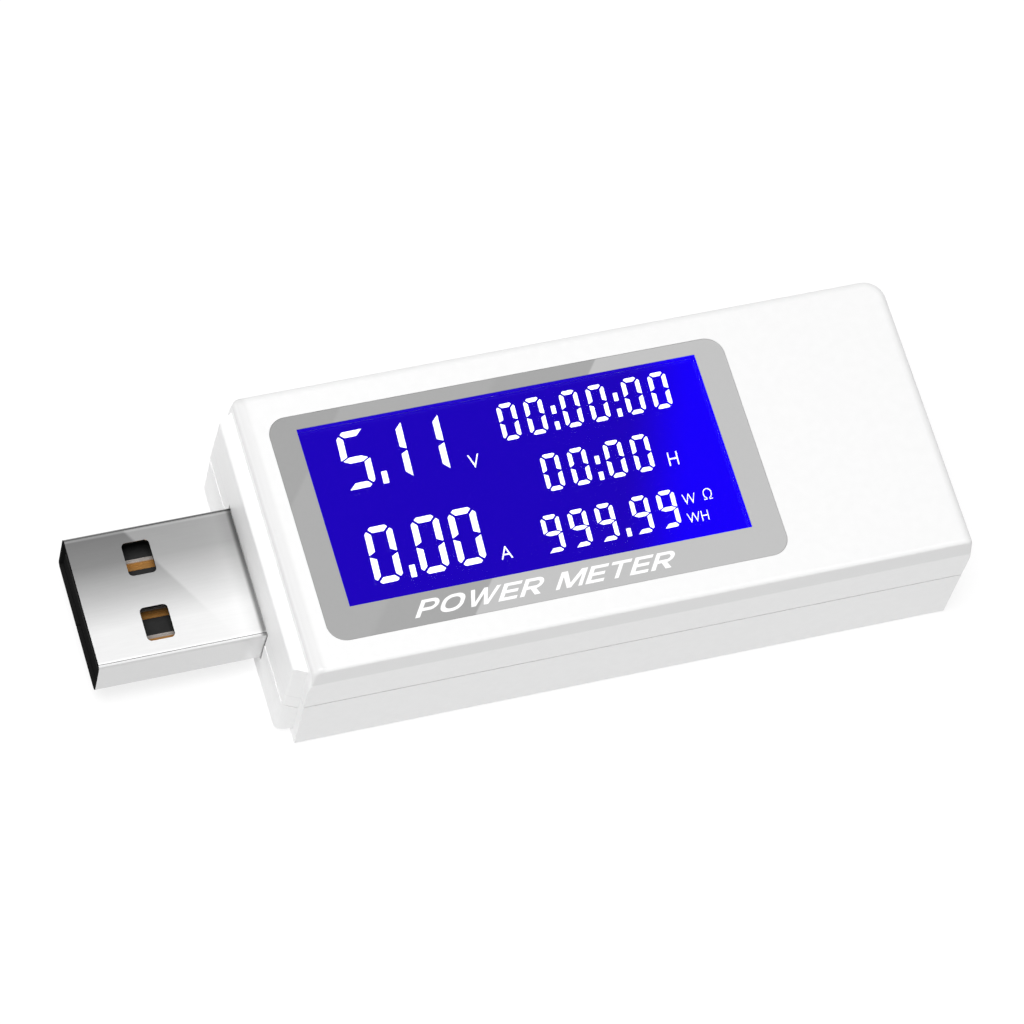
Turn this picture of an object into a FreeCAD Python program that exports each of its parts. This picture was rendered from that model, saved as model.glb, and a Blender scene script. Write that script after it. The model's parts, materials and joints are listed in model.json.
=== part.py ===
import FreeCAD, Part
import math
import os
import re

import Sketcher
from FreeCAD import Rotation, Vector

# Inline USB power meter: a plug at the -X end, a socket at the +X end, a display on top.
# Origin: middle of the underside. X runs from the plug to the socket, Z is up. Millimetres.

DIMENSIONS = [
    ("through", 1.0, "how far a cut goes past what it cuts"),
    # case
    ("overall_length", 72.8, "tip of the plug to the socket end of the case"),
    ("body_width", 26.0, "case width"),
    ("body_height", 13.4, "case height"),
    ("wall", 1.3, "side and end wall thickness"),
    ("roof_wall", 1.2, "top wall thickness"),
    ("floor_wall", 1.0, "bottom wall thickness"),
    ("corner_left", 0.8, "far upright corner radius at the plug end"),
    ("corner_right", 2.0, "far upright corner radius at the socket end"),
    ("rim_height", 2.0, "height of the leaning rim under the top face"),
    ("rim_lean", 7.0, "lean of the rim, degrees"),
    ("rim_near_radius", 0.35, "rounding of the near top edge"),
    ("rim_radius", 0.85, "rounding of the other top edges"),
    ("foot_radius", 0.6, "rounding of the bottom edge"),
    ("seam_height", 7.4, "height of the line between the two case halves"),
    ("seam_gap", 0.12, "visible gap along that line"),
    ("lip_height", 0.8, "lip that closes the seam from inside"),
    ("lip_thickness", 0.6, "thickness of the lip"),
    ("lip_clearance", 0.1, "play around the lip"),
    ("bead_depth", 0.2, "snap bead standing out of the lip"),
    ("bead_height", 0.4, "height of a snap bead"),
    ("bead_length", 6.0, "length of a snap bead"),
    ("bead_spacing", 26.0, "distance between the snap beads of one side"),
    ("bead_middle", 7.0, "x midway between the snap beads"),
    ("stop_thickness", 0.8, "thickness of the ribs that hold the display glass"),
    ("stop_side", 6.0, "reach of those ribs to each side of the middle"),
    ("stop_depth", 3.3, "depth of those ribs below the top wall"),
    # stepped nose around the plug
    ("nose_reach", 1.25, "how far the nose stands out of the case"),
    ("nose_width", 23.2, "width of the nose at its front"),
    ("nose_flare", 0.55, "spread of each side of the nose towards the case"),
    ("nose_top", 12.1, "top of the nose"),
    ("nose_bottom", 0.4, "underside of the nose"),
    ("nose_split", 5.55, "height of the seam across the nose"),
    ("nose_draft", 1.2, "lean of the upper nose's faces, degrees"),
    ("nose_ledge", 0.05, "step of the lower nose in front of the upper"),
    ("nose_top_radius", 0.3, "rounding of the upper nose"),
    ("nose_foot_radius", 1.7, "rounding of the lower nose corners"),
    ("nose_side_radius", 0.8, "rounding of the lower nose's upright edges"),
    # circuit board
    ("board_height", 1.8, "underside of the board"),
    ("board_thickness", 1.0, "board thickness"),
    ("board_play", 0.3, "gap between board and walls"),
    ("tail_depth", 0.6, "length of soldered tails below the board"),
    ("post_radius", 1.5, "board post"),
    ("post_pin_radius", 0.75, "pin on a board post"),
    ("post_left", -17.2, "x of the left posts"),
    ("post_right", 20.9, "x of the right posts"),
    ("post_side", 9.0, "distance of the posts from the middle"),
    ("post_pin_rise", 0.3, "pin above the board"),
    ("post_play", 0.05, "gap around a pin in the board"),
    ("tail_play", 0.1, "gap around a soldered tail in the board"),
    ("leg_width", 1.2, "width of a shell's solder leg"),
    ("leg_overlap", 1.0, "height over which a leg runs into its wall"),
    # standard A plug
    ("plug_reach", 14.1, "plug standing out of the nose"),
    ("plug_length", 18.75, "whole length of the plug shell"),
    ("plug_width", 12.0, "plug width"),
    ("plug_height", 4.5, "plug height"),
    ("plug_corner", 0.45, "outer corner radius of the plug shell"),
    ("sheet", 0.3, "sheet thickness of both shells"),
    ("shell_seam", 0.08, "butt seam under the plug shell"),
    ("window_start", 4.5, "tip to the latch windows"),
    ("window_length", 2.35, "length of a latch window"),
    ("window_width", 3.05, "width of a latch window"),
    ("window_middle", 3.0, "distance of the windows from the middle"),
    ("window_radius", 0.4, "corner radius of a latch window"),
    ("plug_cavity", 11.9, "tip to the back of the plug cavity"),
    ("tongue_thickness", 1.84, "thickness of a contact tongue"),
    ("insulator_width", 11.3, "width of the plug insulator"),
    ("contact_width", 1.0, "width of a contact"),
    ("contact_thickness", 0.2, "thickness of a contact"),
    ("contact_proud", 0.05, "contact face above the plug tongue"),
    ("contact_start", 1.5, "tip to the contacts"),
    ("insulator_inset", 0.3, "end of a shell to its insulator"),
    ("insulator_end", 0.7, "plug insulator to the rear end of the shell"),
    ("plug_leg", 1.5, "start of the plug's solder legs before the rear end of the shell"),
    ("plug_tail", -16.7, "x of the plug contact tails"),
    ("inner_contact", 1.0, "distance of the data contacts from the middle"),
    ("outer_contact", 3.5, "distance of the power contacts from the middle"),
    # standard A socket
    ("socket_inset", 0.1, "socket mouth behind the end of the case"),
    ("socket_length", 14.0, "length of the socket shell"),
    ("socket_width", 13.1, "outer width of the socket shell"),
    ("socket_height", 5.72, "outer height of the socket shell"),
    ("socket_corner", 0.5, "outer corner radius of the socket shell"),
    ("socket_block", 4.0, "depth of the block behind the socket tongue"),
    ("socket_tongue_width", 11.1, "width of the socket tongue"),
    ("socket_tongue_inset", 0.9, "mouth to the end of the socket tongue"),
    ("socket_tongue_drop", 0.06, "tongue underside above the socket's middle"),
    ("spring_length", 6.0, "length of a latch spring"),
    ("spring_width", 2.2, "width of a latch spring"),
    ("spring_slot", 0.35, "slot around a latch spring"),
    ("spring_side", 3.0, "distance of the latch springs from the middle"),
    ("spring_root", 1.2, "mouth to the root of a latch spring"),
    ("rear_opening", 11.6, "width of the opening under the rear of the socket shell"),
    ("socket_leg_rear", 1.0, "back of the socket to its rear solder legs"),
    ("socket_leg_front", 9.0, "back of the socket to its front solder legs"),
    ("socket_tail", 2.0, "back of the socket to its contact tails"),
    ("blade_inset", 0.6, "end of the socket tongue to its contacts"),
    ("bump_length", 1.0, "length of each slope of a socket contact's bump"),
    ("tongue_root", 0.5, "socket tongue inside the block behind it"),
    ("tongue_chamfer", 0.3, "chamfer at the end of the socket tongue"),
    ("opening_play", 0.1, "gap around plug and socket in the case"),
    # label and display
    ("label_left", -18.75, "left end of the label"),
    ("label_right", 20.8, "right end of the label"),
    ("label_near", -10.5, "near side of the label"),
    ("label_far", 10.1, "far side of the label"),
    ("label_corner", 1.6, "corner radius of the label"),
    ("label_recess", 0.25, "depth of the recess for the label"),
    ("label_thickness", 0.23, "label thickness"),
    ("screen_left", -16.4, "left end of the screen"),
    ("screen_right", 18.2, "right end of the screen"),
    ("screen_near", -7.6, "near side of the screen"),
    ("screen_far", 8.8, "far side of the screen"),
    ("screen_play", 0.03, "gap around the clear window"),
    ("polariser", 0.2, "polariser thickness"),
    ("glass", 1.1, "thickness of one glass plate"),
    ("glass_margin", 2.0, "glass past the ends of the screen"),
    ("glass_side", 1.0, "glass past the sides of the screen"),
    ("glass_ledge", 1.4, "terminal ledge of the rear glass"),
    ("glass_play", 0.1, "gap between the glass and the ribs at its ends"),
    ("diffuser", 0.2, "diffuser thickness"),
    ("guide_margin", 0.1, "light guide past the screen"),
    ("led_margin", 1.0, "lamp past the socket end of the screen"),
    ("tray_play", 0.05, "gap around the light guide and lamp in the tray"),
    ("guide", 2.4, "light guide thickness"),
    ("tray_floor", 0.6, "floor of the backlight tray"),
    ("tray_wall", 0.8, "wall of the backlight tray"),
    ("tray_leg", 1.6, "side of a tray leg"),
    ("tray_leg_inset", 3.0, "end of the tray to its legs"),
    ("led_width", 4.0, "width of the backlight lamp"),
    ("led_depth", 1.4, "depth of the backlight lamp"),
    ("led_lift", 0.1, "lamp above the tray floor"),
    ("led_drop", 0.2, "lamp below the top of the light guide"),
    ("lamp_lead", 0.5, "side of a lamp lead"),
    ("lead_root", 0.3, "lamp lead above the underside of the light guide"),
    ("lead_play", 0.1, "gap around a lamp lead in the tray"),
    ("pin_count", 24, "display pins"),
    ("pin_pitch", 1.27, "spacing of the display pins"),
    ("pin_width", 0.5, "width of a display pin"),
    ("pin_thickness", 0.3, "thickness of a display pin"),
    ("pin_play", 0.1, "gap between a display pin and the edge of the glass"),
    ("pin_tab", 0.8, "reach of a pin's jaws over the glass"),
    ("pin_sheet", 0.2, "thickness of a pin's jaws"),
    ("pin_hole", 0.35, "radius of the hole for a display pin"),
    # pieces on the board
    ("chip_standoff", 0.1, "chip above the board"),
    ("mark_radius", 0.3, "radius of a chip's pin-one mark"),
    ("mark_inset", 0.8, "edges of a chip to its mark"),
    ("mark_depth", 0.1, "depth of the mark"),
    ("lead_thickness", 0.15, "thickness of a chip's leads"),
    ("lead_knee", 0.5, "chip to the outside of a lead's upright"),
    ("lead_reach", 1.1, "chip to the end of a lead"),
    ("piece_bevel", 0.1, "bevel of the small pieces"),
    ("crystal_x", 6.0, "x of the rear end of the crystal can"),
    ("crystal_y", -6.5, "y of the crystal's axis"),
    ("crystal_radius", 1.0, "radius of the crystal can"),
    ("crystal_length", 6.0, "length of the crystal can"),
    ("crystal_lead", 0.3, "width of a crystal lead"),
    ("crystal_lead_side", 0.5, "distance of a crystal lead from its axis"),
    ("crystal_lead_reach", 1.0, "leads behind the can"),
    ("crystal_lead_root", 0.2, "leads inside the can"),
    # reset button and its switch
    ("button_x", 28.0, "x of the button"),
    ("button_z", 4.75, "height of the button"),
    ("button_length", 7.0, "length of the cap"),
    ("button_height", 2.6, "height of the cap"),
    ("button_proud", 0.5, "cap standing out of the case"),
    ("button_play", 0.1, "gap around the cap"),
    ("button_corner", 1.0, "corner radius of the cap"),
    ("button_crown", 0.35, "rounding of the cap"),
    ("flange_overlap", 0.4, "flange past the cap"),
    ("flange_thickness", 0.8, "flange thickness"),
    ("switch_length", 6.0, "switch length along the case"),
    ("switch_tall", 3.9, "switch height above the board"),
    ("switch_back", 6.8, "y of the back of the switch"),
    ("switch_front", 9.0, "y of the front of the switch base"),
    ("switch_cavity", 1.3, "depth of the switch cavity"),
    ("cover_sheet", 0.2, "thickness of the switch cover"),
    ("dome_radius", 1.4, "radius of the snap dome"),
    ("dome_rise", 0.35, "height of the snap dome"),
    ("dome_sheet", 0.08, "thickness of the snap dome"),
    ("dome_gap", 0.02, "plunger to dome at rest"),
    ("dome_play", 0.1, "switch cavity taller than the dome"),
    ("dome_spare", 1.4, "switch cavity longer than the dome"),
    ("cover_lift", 0.05, "switch cover above the board"),
    ("cover_inset", 0.4, "back of the switch to the flaps of its cover"),
    ("cover_leg", 0.8, "width of the cover's legs, and their distance from the back"),
    ("terminal_side", 2.25, "distance of the switch terminals from its middle"),
    ("terminal_width", 0.5, "width of a switch terminal"),
    ("terminal_thickness", 0.3, "thickness of a switch terminal"),
    ("terminal_inset", 0.2, "back of the switch to its terminals"),
    ("stem_length", 2.4, "length of the plunger stem section"),
    ("stem_height", 1.6, "height of the plunger stem section"),
    ("stem_play", 0.08, "gap around the stem"),
    ("stem_flange_length", 1.2, "plunger flange longer than the stem"),
    ("stem_flange_height", 0.6, "plunger flange taller than the stem"),
    ("stem_flange_play", 0.1, "plunger flange behind the cover"),
]

# Every piece on the board: its place (x, y) and its length, width and height.
BOARD_PIECES = {
    "microcontroller": (-4.0, 2.0, 10.2, 5.3, 1.7),
    "display_driver": (10.0, 2.0, 8.6, 5.3, 1.5),
    "memory_chip": (-13.0, 0.0, 4.9, 3.9, 1.4),
    "voltage_regulator": (-13.0, 6.2, 4.5, 2.5, 1.5),
    "shunt_resistor": (16.3, -3.2, 3.2, 6.4, 0.6),
    "bulk_capacitor": (-10.2, -5.5, 3.5, 2.8, 1.9),
    "ceramic_capacitor_1": (-5.0, -4.0, 2.0, 1.25, 0.9),
    "ceramic_capacitor_2": (-1.0, -4.0, 2.0, 1.25, 0.9),
    "ceramic_capacitor_3": (3.0, -4.0, 2.0, 1.25, 0.9),
}
# The chips among them: spacing and number of the leads on each side.
CHIP_LEADS = {
    "microcontroller": (0.65, 14),
    "display_driver": (0.5, 16),
    "memory_chip": (1.27, 4),
}
for _table, _names in ((BOARD_PIECES, ("x", "y", "length", "width", "height")), (CHIP_LEADS, ("pitch", "count"))):
    for _piece, _values in _table.items():
        for _name, _value in zip(_names, _values):
            DIMENSIONS.append((f"{_piece}_{_name}", _value, f"{_name} of the {_piece.replace('_', ' ')}"))

TIP = "-overall_length / 2"
NOSE = f"{TIP} + plug_reach"
LEFT = f"{NOSE} + nose_reach"
RIGHT = "overall_length / 2"
SIDE = "body_width / 2"
BOARD_TOP = "board_height + board_thickness"
TAIL_END = "board_height - tail_depth"
ROOF = "body_height - roof_wall"
PLUG_MIDDLE = f"{BOARD_TOP} + plug_height / 2"
PLUG_TONGUE = f"{BOARD_TOP} + sheet + tongue_thickness"
SOCKET_MOUTH = f"{RIGHT} - socket_inset"
SOCKET_BACK = f"{RIGHT} - socket_inset - socket_length"
SOCKET_MIDDLE = f"{BOARD_TOP} + socket_height / 2"
SOCKET_TONGUE = f"{SOCKET_MIDDLE} + socket_tongue_drop"
GLASS_NEAR = "screen_near - glass_side"
GLASS_FAR = "screen_far + glass_side"
REAR_GLASS = f"{ROOF} - 2 * glass"
GUIDE_TOP = f"{REAR_GLASS} - polariser - diffuser"
TRAY_BOTTOM = f"{GUIDE_TOP} - guide - tray_floor"
FLANGE_FACE = f"{SIDE} - wall - button_play"
DOME_RIM = "switch_front - switch_cavity"
COVER_LEG = ("switch_back + cover_leg", "switch_back + 2 * cover_leg")
TERMINAL = ("switch_back + terminal_inset", "switch_back + terminal_inset + terminal_thickness")

CONTACTS = {
    "power": "-outer_contact",
    "data_minus": "-inner_contact",
    "data_plus": "inner_contact",
    "ground": "outer_contact",
}

TOLERANCE = 1e-4

DOC = FreeCAD.newDocument("usb_power_meter")
SIZES = DOC.addObject("Spreadsheet::Sheet", "Sizes")
NODES = []


def fill_sheet():
    """Write every driving dimension into the sheet."""
    for row, (alias, number, meaning) in enumerate(DIMENSIONS, 1):
        SIZES.set(f"A{row}", meaning)
        SIZES.set(f"B{row}", str(number))
        SIZES.setAlias(f"B{row}", alias)
    DOC.recompute()


def linked(formula):
    """The formula with each alias pointing at the sheet."""
    return re.sub(r"[a-z]\w*", r"Sizes.\g<0>", str(formula))


def number(formula):
    """The present value of a formula."""
    return float(SIZES.evalExpression(str(formula)))


# ---------------------------------------------------------------- building blocks


def keep(node, name):
    """Register a finished sub-part under its own name."""
    node.Label = name
    NODES.append(node)
    return node


def new_body(name):
    return keep(DOC.addObject("PartDesign::Body", name), name)


def origin_feature(body, role):
    return next(f for f in body.Origin.OriginFeatures if f.Role == role)


def sketch(body, name, plane, at="0"):
    """A sketch on an origin plane of the body, moved along that plane's axis to a coordinate."""
    drawing = body.newObject("Sketcher::SketchObject", name)
    drawing.AttachmentSupport = [(origin_feature(body, plane), "")]
    drawing.MapMode = "FlatFace"
    sign = "-" if plane == "XZ_Plane" else ""
    drawing.setExpression("AttachmentOffset.Base.z", linked(f"{sign}({at})"))
    return drawing


def hold(drawing, kind, geometry, end, formula):
    """Tie one coordinate of a line's end to a formula."""
    rule = Sketcher.Constraint(kind, -1, 1, geometry, end, number(formula))
    index = drawing.addConstraint(rule)
    drawing.setExpression(f"Constraints[{index}]", linked(formula))


def polygon(drawing, points):
    """A closed outline through corner points given as pairs of formulas."""
    first = drawing.GeometryCount
    places = [Vector(number(x), number(y), 0) for x, y in points]
    for start, end in zip(places, places[1:] + places[:1]):
        drawing.addGeometry(Part.LineSegment(start, end))
    for step, (x, y) in enumerate(points):
        line = first + step
        before = first + (step - 1) % len(points)
        drawing.addConstraint(Sketcher.Constraint("Coincident", before, 2, line, 1))
        hold(drawing, "DistanceX", line, 1, x)
        hold(drawing, "DistanceY", line, 1, y)


def rectangle(drawing, x, y):
    """A sharp rectangle between two formulas on each axis."""
    polygon(drawing, [(x[0], y[0]), (x[1], y[0]), (x[1], y[1]), (x[0], y[1])])


def rounded(drawing, x, y, left, right):
    """A rectangle with one corner radius at its low end and one at its high end."""
    (x0, x1), (y0, y1) = [[number(f) for f in pair] for pair in (x, y)]
    low, high = number(left), number(right)
    first = drawing.GeometryCount
    corners = [
        (Vector(x1 - high, y0 + high, 0), high, 270, right),
        (Vector(x1 - high, y1 - high, 0), high, 0, right),
        (Vector(x0 + low, y1 - low, 0), low, 90, left),
        (Vector(x0 + low, y0 + low, 0), low, 180, left),
    ]
    sides = [
        (Vector(x0 + low, y0, 0), Vector(x1 - high, y0, 0)),
        (Vector(x1, y0 + high, 0), Vector(x1, y1 - high, 0)),
        (Vector(x1 - high, y1, 0), Vector(x0 + low, y1, 0)),
        (Vector(x0, y1 - low, 0), Vector(x0, y0 + low, 0)),
    ]
    for (start, end), (centre, radius, angle, _) in zip(sides, corners):
        drawing.addGeometry(Part.LineSegment(start, end))
        ring = Part.Circle(centre, Vector(0, 0, 1), radius)
        drawing.addGeometry(Part.ArcOfCircle(ring, math.radians(angle), math.radians(angle + 90)))
    for step, (_, _, _, formula) in enumerate(corners):
        line = first + 2 * step
        following = first + (2 * step + 2) % 8
        drawing.addConstraint(Sketcher.Constraint("Tangent", line, 2, line + 1, 1))
        drawing.addConstraint(Sketcher.Constraint("Tangent", line + 1, 2, following, 1))
        drawing.addConstraint(Sketcher.Constraint("Vertical" if step % 2 else "Horizontal", line))
        index = drawing.addConstraint(Sketcher.Constraint("Radius", line + 1, number(formula)))
        drawing.setExpression(f"Constraints[{index}]", linked(formula))
    hold(drawing, "DistanceY", first, 1, y[0])
    hold(drawing, "DistanceX", first + 2, 1, x[1])
    hold(drawing, "DistanceY", first + 4, 1, y[1])
    hold(drawing, "DistanceX", first + 6, 1, x[0])


def half_rounded(drawing, x, y, left, right):
    """A rectangle with sharp corners on its low side and a radius at each end of its high side."""
    (x0, x1), (y0, y1) = [[number(f) for f in pair] for pair in (x, y)]
    low, high = number(left), number(right)
    first = drawing.GeometryCount
    points = [(x0, y0), (x1, y0), (x1, y1 - high), (x1 - high, y1), (x0 + low, y1), (x0, y1 - low)]
    places = [Vector(*point, 0) for point in points]
    turns = {2: (Vector(x1 - high, y1 - high, 0), high, 0, right), 4: (Vector(x0 + low, y1 - low, 0), low, 90, left)}
    for step, (start, end) in enumerate(zip(places, places[1:] + places[:1])):
        if step in turns:
            centre, radius, angle, formula = turns[step]
            ring = Part.Circle(centre, Vector(0, 0, 1), radius)
            arc = Part.ArcOfCircle(ring, math.radians(angle), math.radians(angle + 90))
            drawing.addGeometry(arc)
        else:
            drawing.addGeometry(Part.LineSegment(start, end))
    for step in range(len(points)):
        line, following = first + step, first + (step + 1) % len(points)
        kind = "Tangent" if step in (1, 2, 3, 4) else "Coincident"
        drawing.addConstraint(Sketcher.Constraint(kind, line, 2, following, 1))
    for step, (_, _, _, formula) in turns.items():
        index = drawing.addConstraint(Sketcher.Constraint("Radius", first + step, number(formula)))
        drawing.setExpression(f"Constraints[{index}]", linked(formula))
    for step, kind in ((0, "Horizontal"), (1, "Vertical"), (3, "Horizontal"), (5, "Vertical")):
        drawing.addConstraint(Sketcher.Constraint(kind, first + step))
    hold(drawing, "DistanceX", first, 1, x[0])
    hold(drawing, "DistanceY", first, 1, y[0])
    hold(drawing, "DistanceX", first + 1, 1, x[1])
    hold(drawing, "DistanceY", first + 3, 1, y[1])


def circle(drawing, x, y, radius):
    """A circle whose centre and radius are formulas."""
    ring = Part.Circle(Vector(number(x), number(y), 0), Vector(0, 0, 1), number(radius))
    index = drawing.addGeometry(ring)
    hold(drawing, "DistanceX", index, 3, x)
    hold(drawing, "DistanceY", index, 3, y)
    rule = drawing.addConstraint(Sketcher.Constraint("Radius", index, number(radius)))
    drawing.setExpression(f"Constraints[{rule}]", linked(radius))


def extrude(body, kind, drawing, depth, reverse=False, both=False, lean=None):
    """A Pad or Pocket of a sketch; both means half the depth to each side of it."""
    feature = body.newObject(f"PartDesign::{kind}", f"{drawing.Name}_{kind.lower()}")
    feature.Profile = drawing
    feature.setExpression("Length", linked(depth))
    feature.Reversed = reverse
    feature.SideType = "Symmetric" if both else "One side"
    if lean:
        feature.setExpression("TaperAngle", linked(lean))
    return feature


def soften(body, kind, feature, wanted, size):
    """Fillet or chamfer the edges of a feature that a test picks out."""
    DOC.recompute()
    edges = [f"Edge{n}" for n, edge in enumerate(feature.Shape.Edges, 1) if wanted(edge)]
    dressing = body.newObject(f"PartDesign::{kind}", f"{feature.Name}_{kind.lower()}")
    dressing.Base = (feature, edges)
    dressing.setExpression("Radius" if kind == "Fillet" else "Size", linked(size))
    return dressing


def lies_at(edge, axis, formula):
    """Whether the whole edge has one coordinate."""
    box, place = edge.BoundBox, number(formula)
    ends = getattr(box, f"{axis}Min"), getattr(box, f"{axis}Max")
    return all(abs(end - place) < TOLERANCE for end in ends)


def runs_along(edge, axis):
    """Whether the edge is straight and parallel to an axis."""
    if edge.Curve.TypeId != "Part::GeomLine":
        return False
    return abs(abs(getattr(edge.Curve.Direction, axis)) - 1) < TOLERANCE


def repeat(body, feature, axis, spacing, count):
    """A row of copies of a feature along an axis of its body."""
    row = body.newObject("PartDesign::LinearPattern", f"{feature.Name}_row")
    row.Originals = [feature]
    row.Direction = (origin_feature(body, f"{axis}_Axis"), [""])
    row.Mode = "Spacing"
    row.setExpression("Offset", linked(spacing))
    row.setExpression("Occurrences", linked(count))
    body.Tip = row
    return row


def block(name, x, y, z):
    """A plain box between two formulas on each axis."""
    solid = DOC.addObject("Part::Box", name)
    for side, (low, high) in zip(("Length", "Width", "Height"), (x, y, z)):
        solid.setExpression(side, linked(f"({high}) - ({low})"))
    for axis, (low, _) in zip("xyz", (x, y, z)):
        solid.setExpression(f"Placement.Base.{axis}", linked(low))
    return solid


def plate(name, x, y, z):
    """A plain box that is a sub-part of its own."""
    return keep(block(name, x, y, z), name)


# ---------------------------------------------------------------- case


def case_outline(body, name, at):
    drawing = sketch(body, name, "XY_Plane", at)
    half_rounded(drawing, (LEFT, RIGHT), (f"-{SIDE}", SIDE), "corner_left", "corner_right")
    return drawing


def inside_outline(body, name, at, margin, start="0"):
    """The outline of the hollow, its long sides and socket end widened by a margin."""
    drawing = sketch(body, name, "XY_Plane", at)
    reach = f"{SIDE} - wall + {margin}"
    radius = f"corner_right - wall + {margin}"
    x = (f"{LEFT} + wall + {start}", f"{RIGHT} - wall + {margin}")
    rounded(drawing, x, (f"-({reach})", reach), "corner_left / 2", radius)
    return drawing


def end_notch(body, name, end, width, z):
    """Cut a rectangular opening through one end wall."""
    drawing = sketch(body, name, "YZ_Plane", end)
    rectangle(drawing, (f"-({width}) / 2", f"({width}) / 2"), z)
    return extrude(body, "Pocket", drawing, "wall + nose_reach + lip_thickness", both=True)


def socket_notch(body, z):
    width = "socket_width + 2 * opening_play"
    drawing = sketch(body, "socket_opening", "YZ_Plane", f"{RIGHT} - wall - through")
    rectangle(drawing, (f"-({width}) / 2", f"({width}) / 2"), z)
    return extrude(body, "Pocket", drawing, "wall + 2 * through", reverse=True)


def nose_plan(face):
    """Corners of the nose seen from above, its sides spreading towards the case."""
    front, back = "nose_width / 2", "(nose_width / 2 + nose_flare)"
    far = [(face, front), (LEFT, back), (f"{LEFT} + wall", back)]
    return [(x, f"-{y}") for x, y in far] + far[::-1]


def upper_nose(body):
    """Upper half of the nose, its faces leaning in a little towards the top."""
    bottom = "nose_split + seam_gap / 2"
    drawing = sketch(body, "nose", "XY_Plane", bottom)
    polygon(drawing, nose_plan(f"{NOSE} + nose_ledge"))
    nose = extrude(body, "Pad", drawing, f"nose_top - ({bottom})", lean="-nose_draft")

    def outer(edge):
        box = edge.BoundBox
        ahead = box.XMin < number(LEFT) - TOLERANCE and box.XMax < number(LEFT) + TOLERANCE
        return ahead and box.ZMax > number("nose_top") - TOLERANCE

    return soften(body, "Fillet", nose, outer, "nose_top_radius")


def upper_case():
    body = new_body("upper_case")
    start = "seam_height + seam_gap / 2"
    walls = case_outline(body, "upper_walls", start)
    extrude(body, "Pad", walls, f"body_height - rim_height - ({start})")
    rim = extrude(
        body, "Pad", case_outline(body, "rim", "body_height - rim_height"), "rim_height", lean="-rim_lean"
    )

    def on_near_side(edge):
        return edge.BoundBox.YMax < 0

    def top_edge(edge):
        return lies_at(edge, "Z", "body_height")

    rim = soften(body, "Fillet", rim, lambda edge: top_edge(edge) and not on_near_side(edge), "rim_radius")
    soften(body, "Fillet", rim, lambda edge: top_edge(edge) and on_near_side(edge), "rim_near_radius")
    upper_nose(body)
    hollow = inside_outline(body, "upper_hollow", start, "0")
    extrude(body, "Pocket", hollow, f"{ROOF} - ({start})", reverse=True)
    rebate = inside_outline(body, "rebate", start, "lip_thickness + lip_clearance")
    extrude(body, "Pocket", rebate, "lip_height + lip_clearance", reverse=True)
    bead_row(body, "Pocket", "bead_grooves", "lip_clearance", "lip_clearance")
    label = sketch(body, "label_recess", "XY_Plane", "body_height")
    play = "screen_play"
    rounded(
        label,
        (f"label_left - {play}", f"label_right + {play}"),
        (f"label_near - {play}", f"label_far + {play}"),
        f"label_corner + {play}",
        f"label_corner + {play}",
    )
    extrude(body, "Pocket", label, "label_recess")
    opening = sketch(body, "screen_opening", "XY_Plane", "body_height")
    rectangle(
        opening,
        (f"screen_left - {play}", f"screen_right + {play}"),
        (f"screen_near - {play}", f"screen_far + {play}"),
    )
    extrude(body, "Pocket", opening, "roof_wall + through")
    plug_top = f"{BOARD_TOP} + plug_height + opening_play"
    end_notch(body, "plug_opening", LEFT, "plug_width + 2 * opening_play", ("nose_split - through", plug_top))
    socket_notch(body, ("seam_height - through", f"{BOARD_TOP} + socket_height + opening_play"))
    display_stops(body)


def bead_row(body, kind, name, depth_margin, height_margin):
    """Snap beads, or the grooves that they click into, along both long sides of the lip."""
    drawing = sketch(body, name, "XZ_Plane")
    middle = "seam_height + lip_height / 2"
    tall = f"bead_height / 2 + {height_margin}"
    for sign in ("-", "+"):
        centre = f"bead_middle {sign} bead_spacing / 2"
        x = (f"{centre} - bead_length / 2 - {height_margin}", f"{centre} + bead_length / 2 + {height_margin}")
        rectangle(drawing, x, (f"{middle} - ({tall})", f"{middle} + {tall}"))
    reach = f"2 * ({SIDE} - wall + lip_thickness + bead_depth + {depth_margin})"
    return extrude(body, kind, drawing, reach, both=True)


def display_stops(body):
    """Ribs under the roof that hold the display glass endwise."""
    drawing = sketch(body, "display_stops", "XY_Plane", ROOF)
    low = "screen_left - glass_margin - glass_play"
    high = "screen_right + glass_margin + glass_play"
    rectangle(drawing, (f"{low} - stop_thickness", low), ("-stop_side", "stop_side"))
    rectangle(drawing, (high, f"{high} + stop_thickness"), ("-stop_side", "stop_side"))
    return extrude(body, "Pad", drawing, "stop_depth", reverse=True)


def lower_case():
    body = new_body("lower_case")
    rim = "seam_height - seam_gap / 2"
    tray = extrude(body, "Pad", case_outline(body, "lower_walls", "0"), rim)
    soften(body, "Fillet", tray, lambda edge: lies_at(edge, "Z", "0"), "foot_radius")
    lip = inside_outline(body, "lip", rim, "lip_thickness", "lip_clearance")
    extrude(body, "Pad", lip, "lip_height")
    bead_row(body, "Pad", "beads", "0", "0")
    lower_nose(body)
    hollow = inside_outline(body, "lower_hollow", f"{rim} + lip_height", "0")
    extrude(body, "Pocket", hollow, f"{rim} + lip_height - floor_wall")
    end_notch(body, "nose_opening", LEFT, "nose_width + 2 * lip_clearance", ("nose_split - seam_gap / 2", rim))
    plug_low = f"{BOARD_TOP} - opening_play"
    end_notch(body, "plug_opening", LEFT, "plug_width + 2 * opening_play", (plug_low, "nose_split"))
    socket_notch(body, (plug_low, f"{rim} + lip_height + through"))
    button_opening(body)
    board_posts(body)


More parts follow.
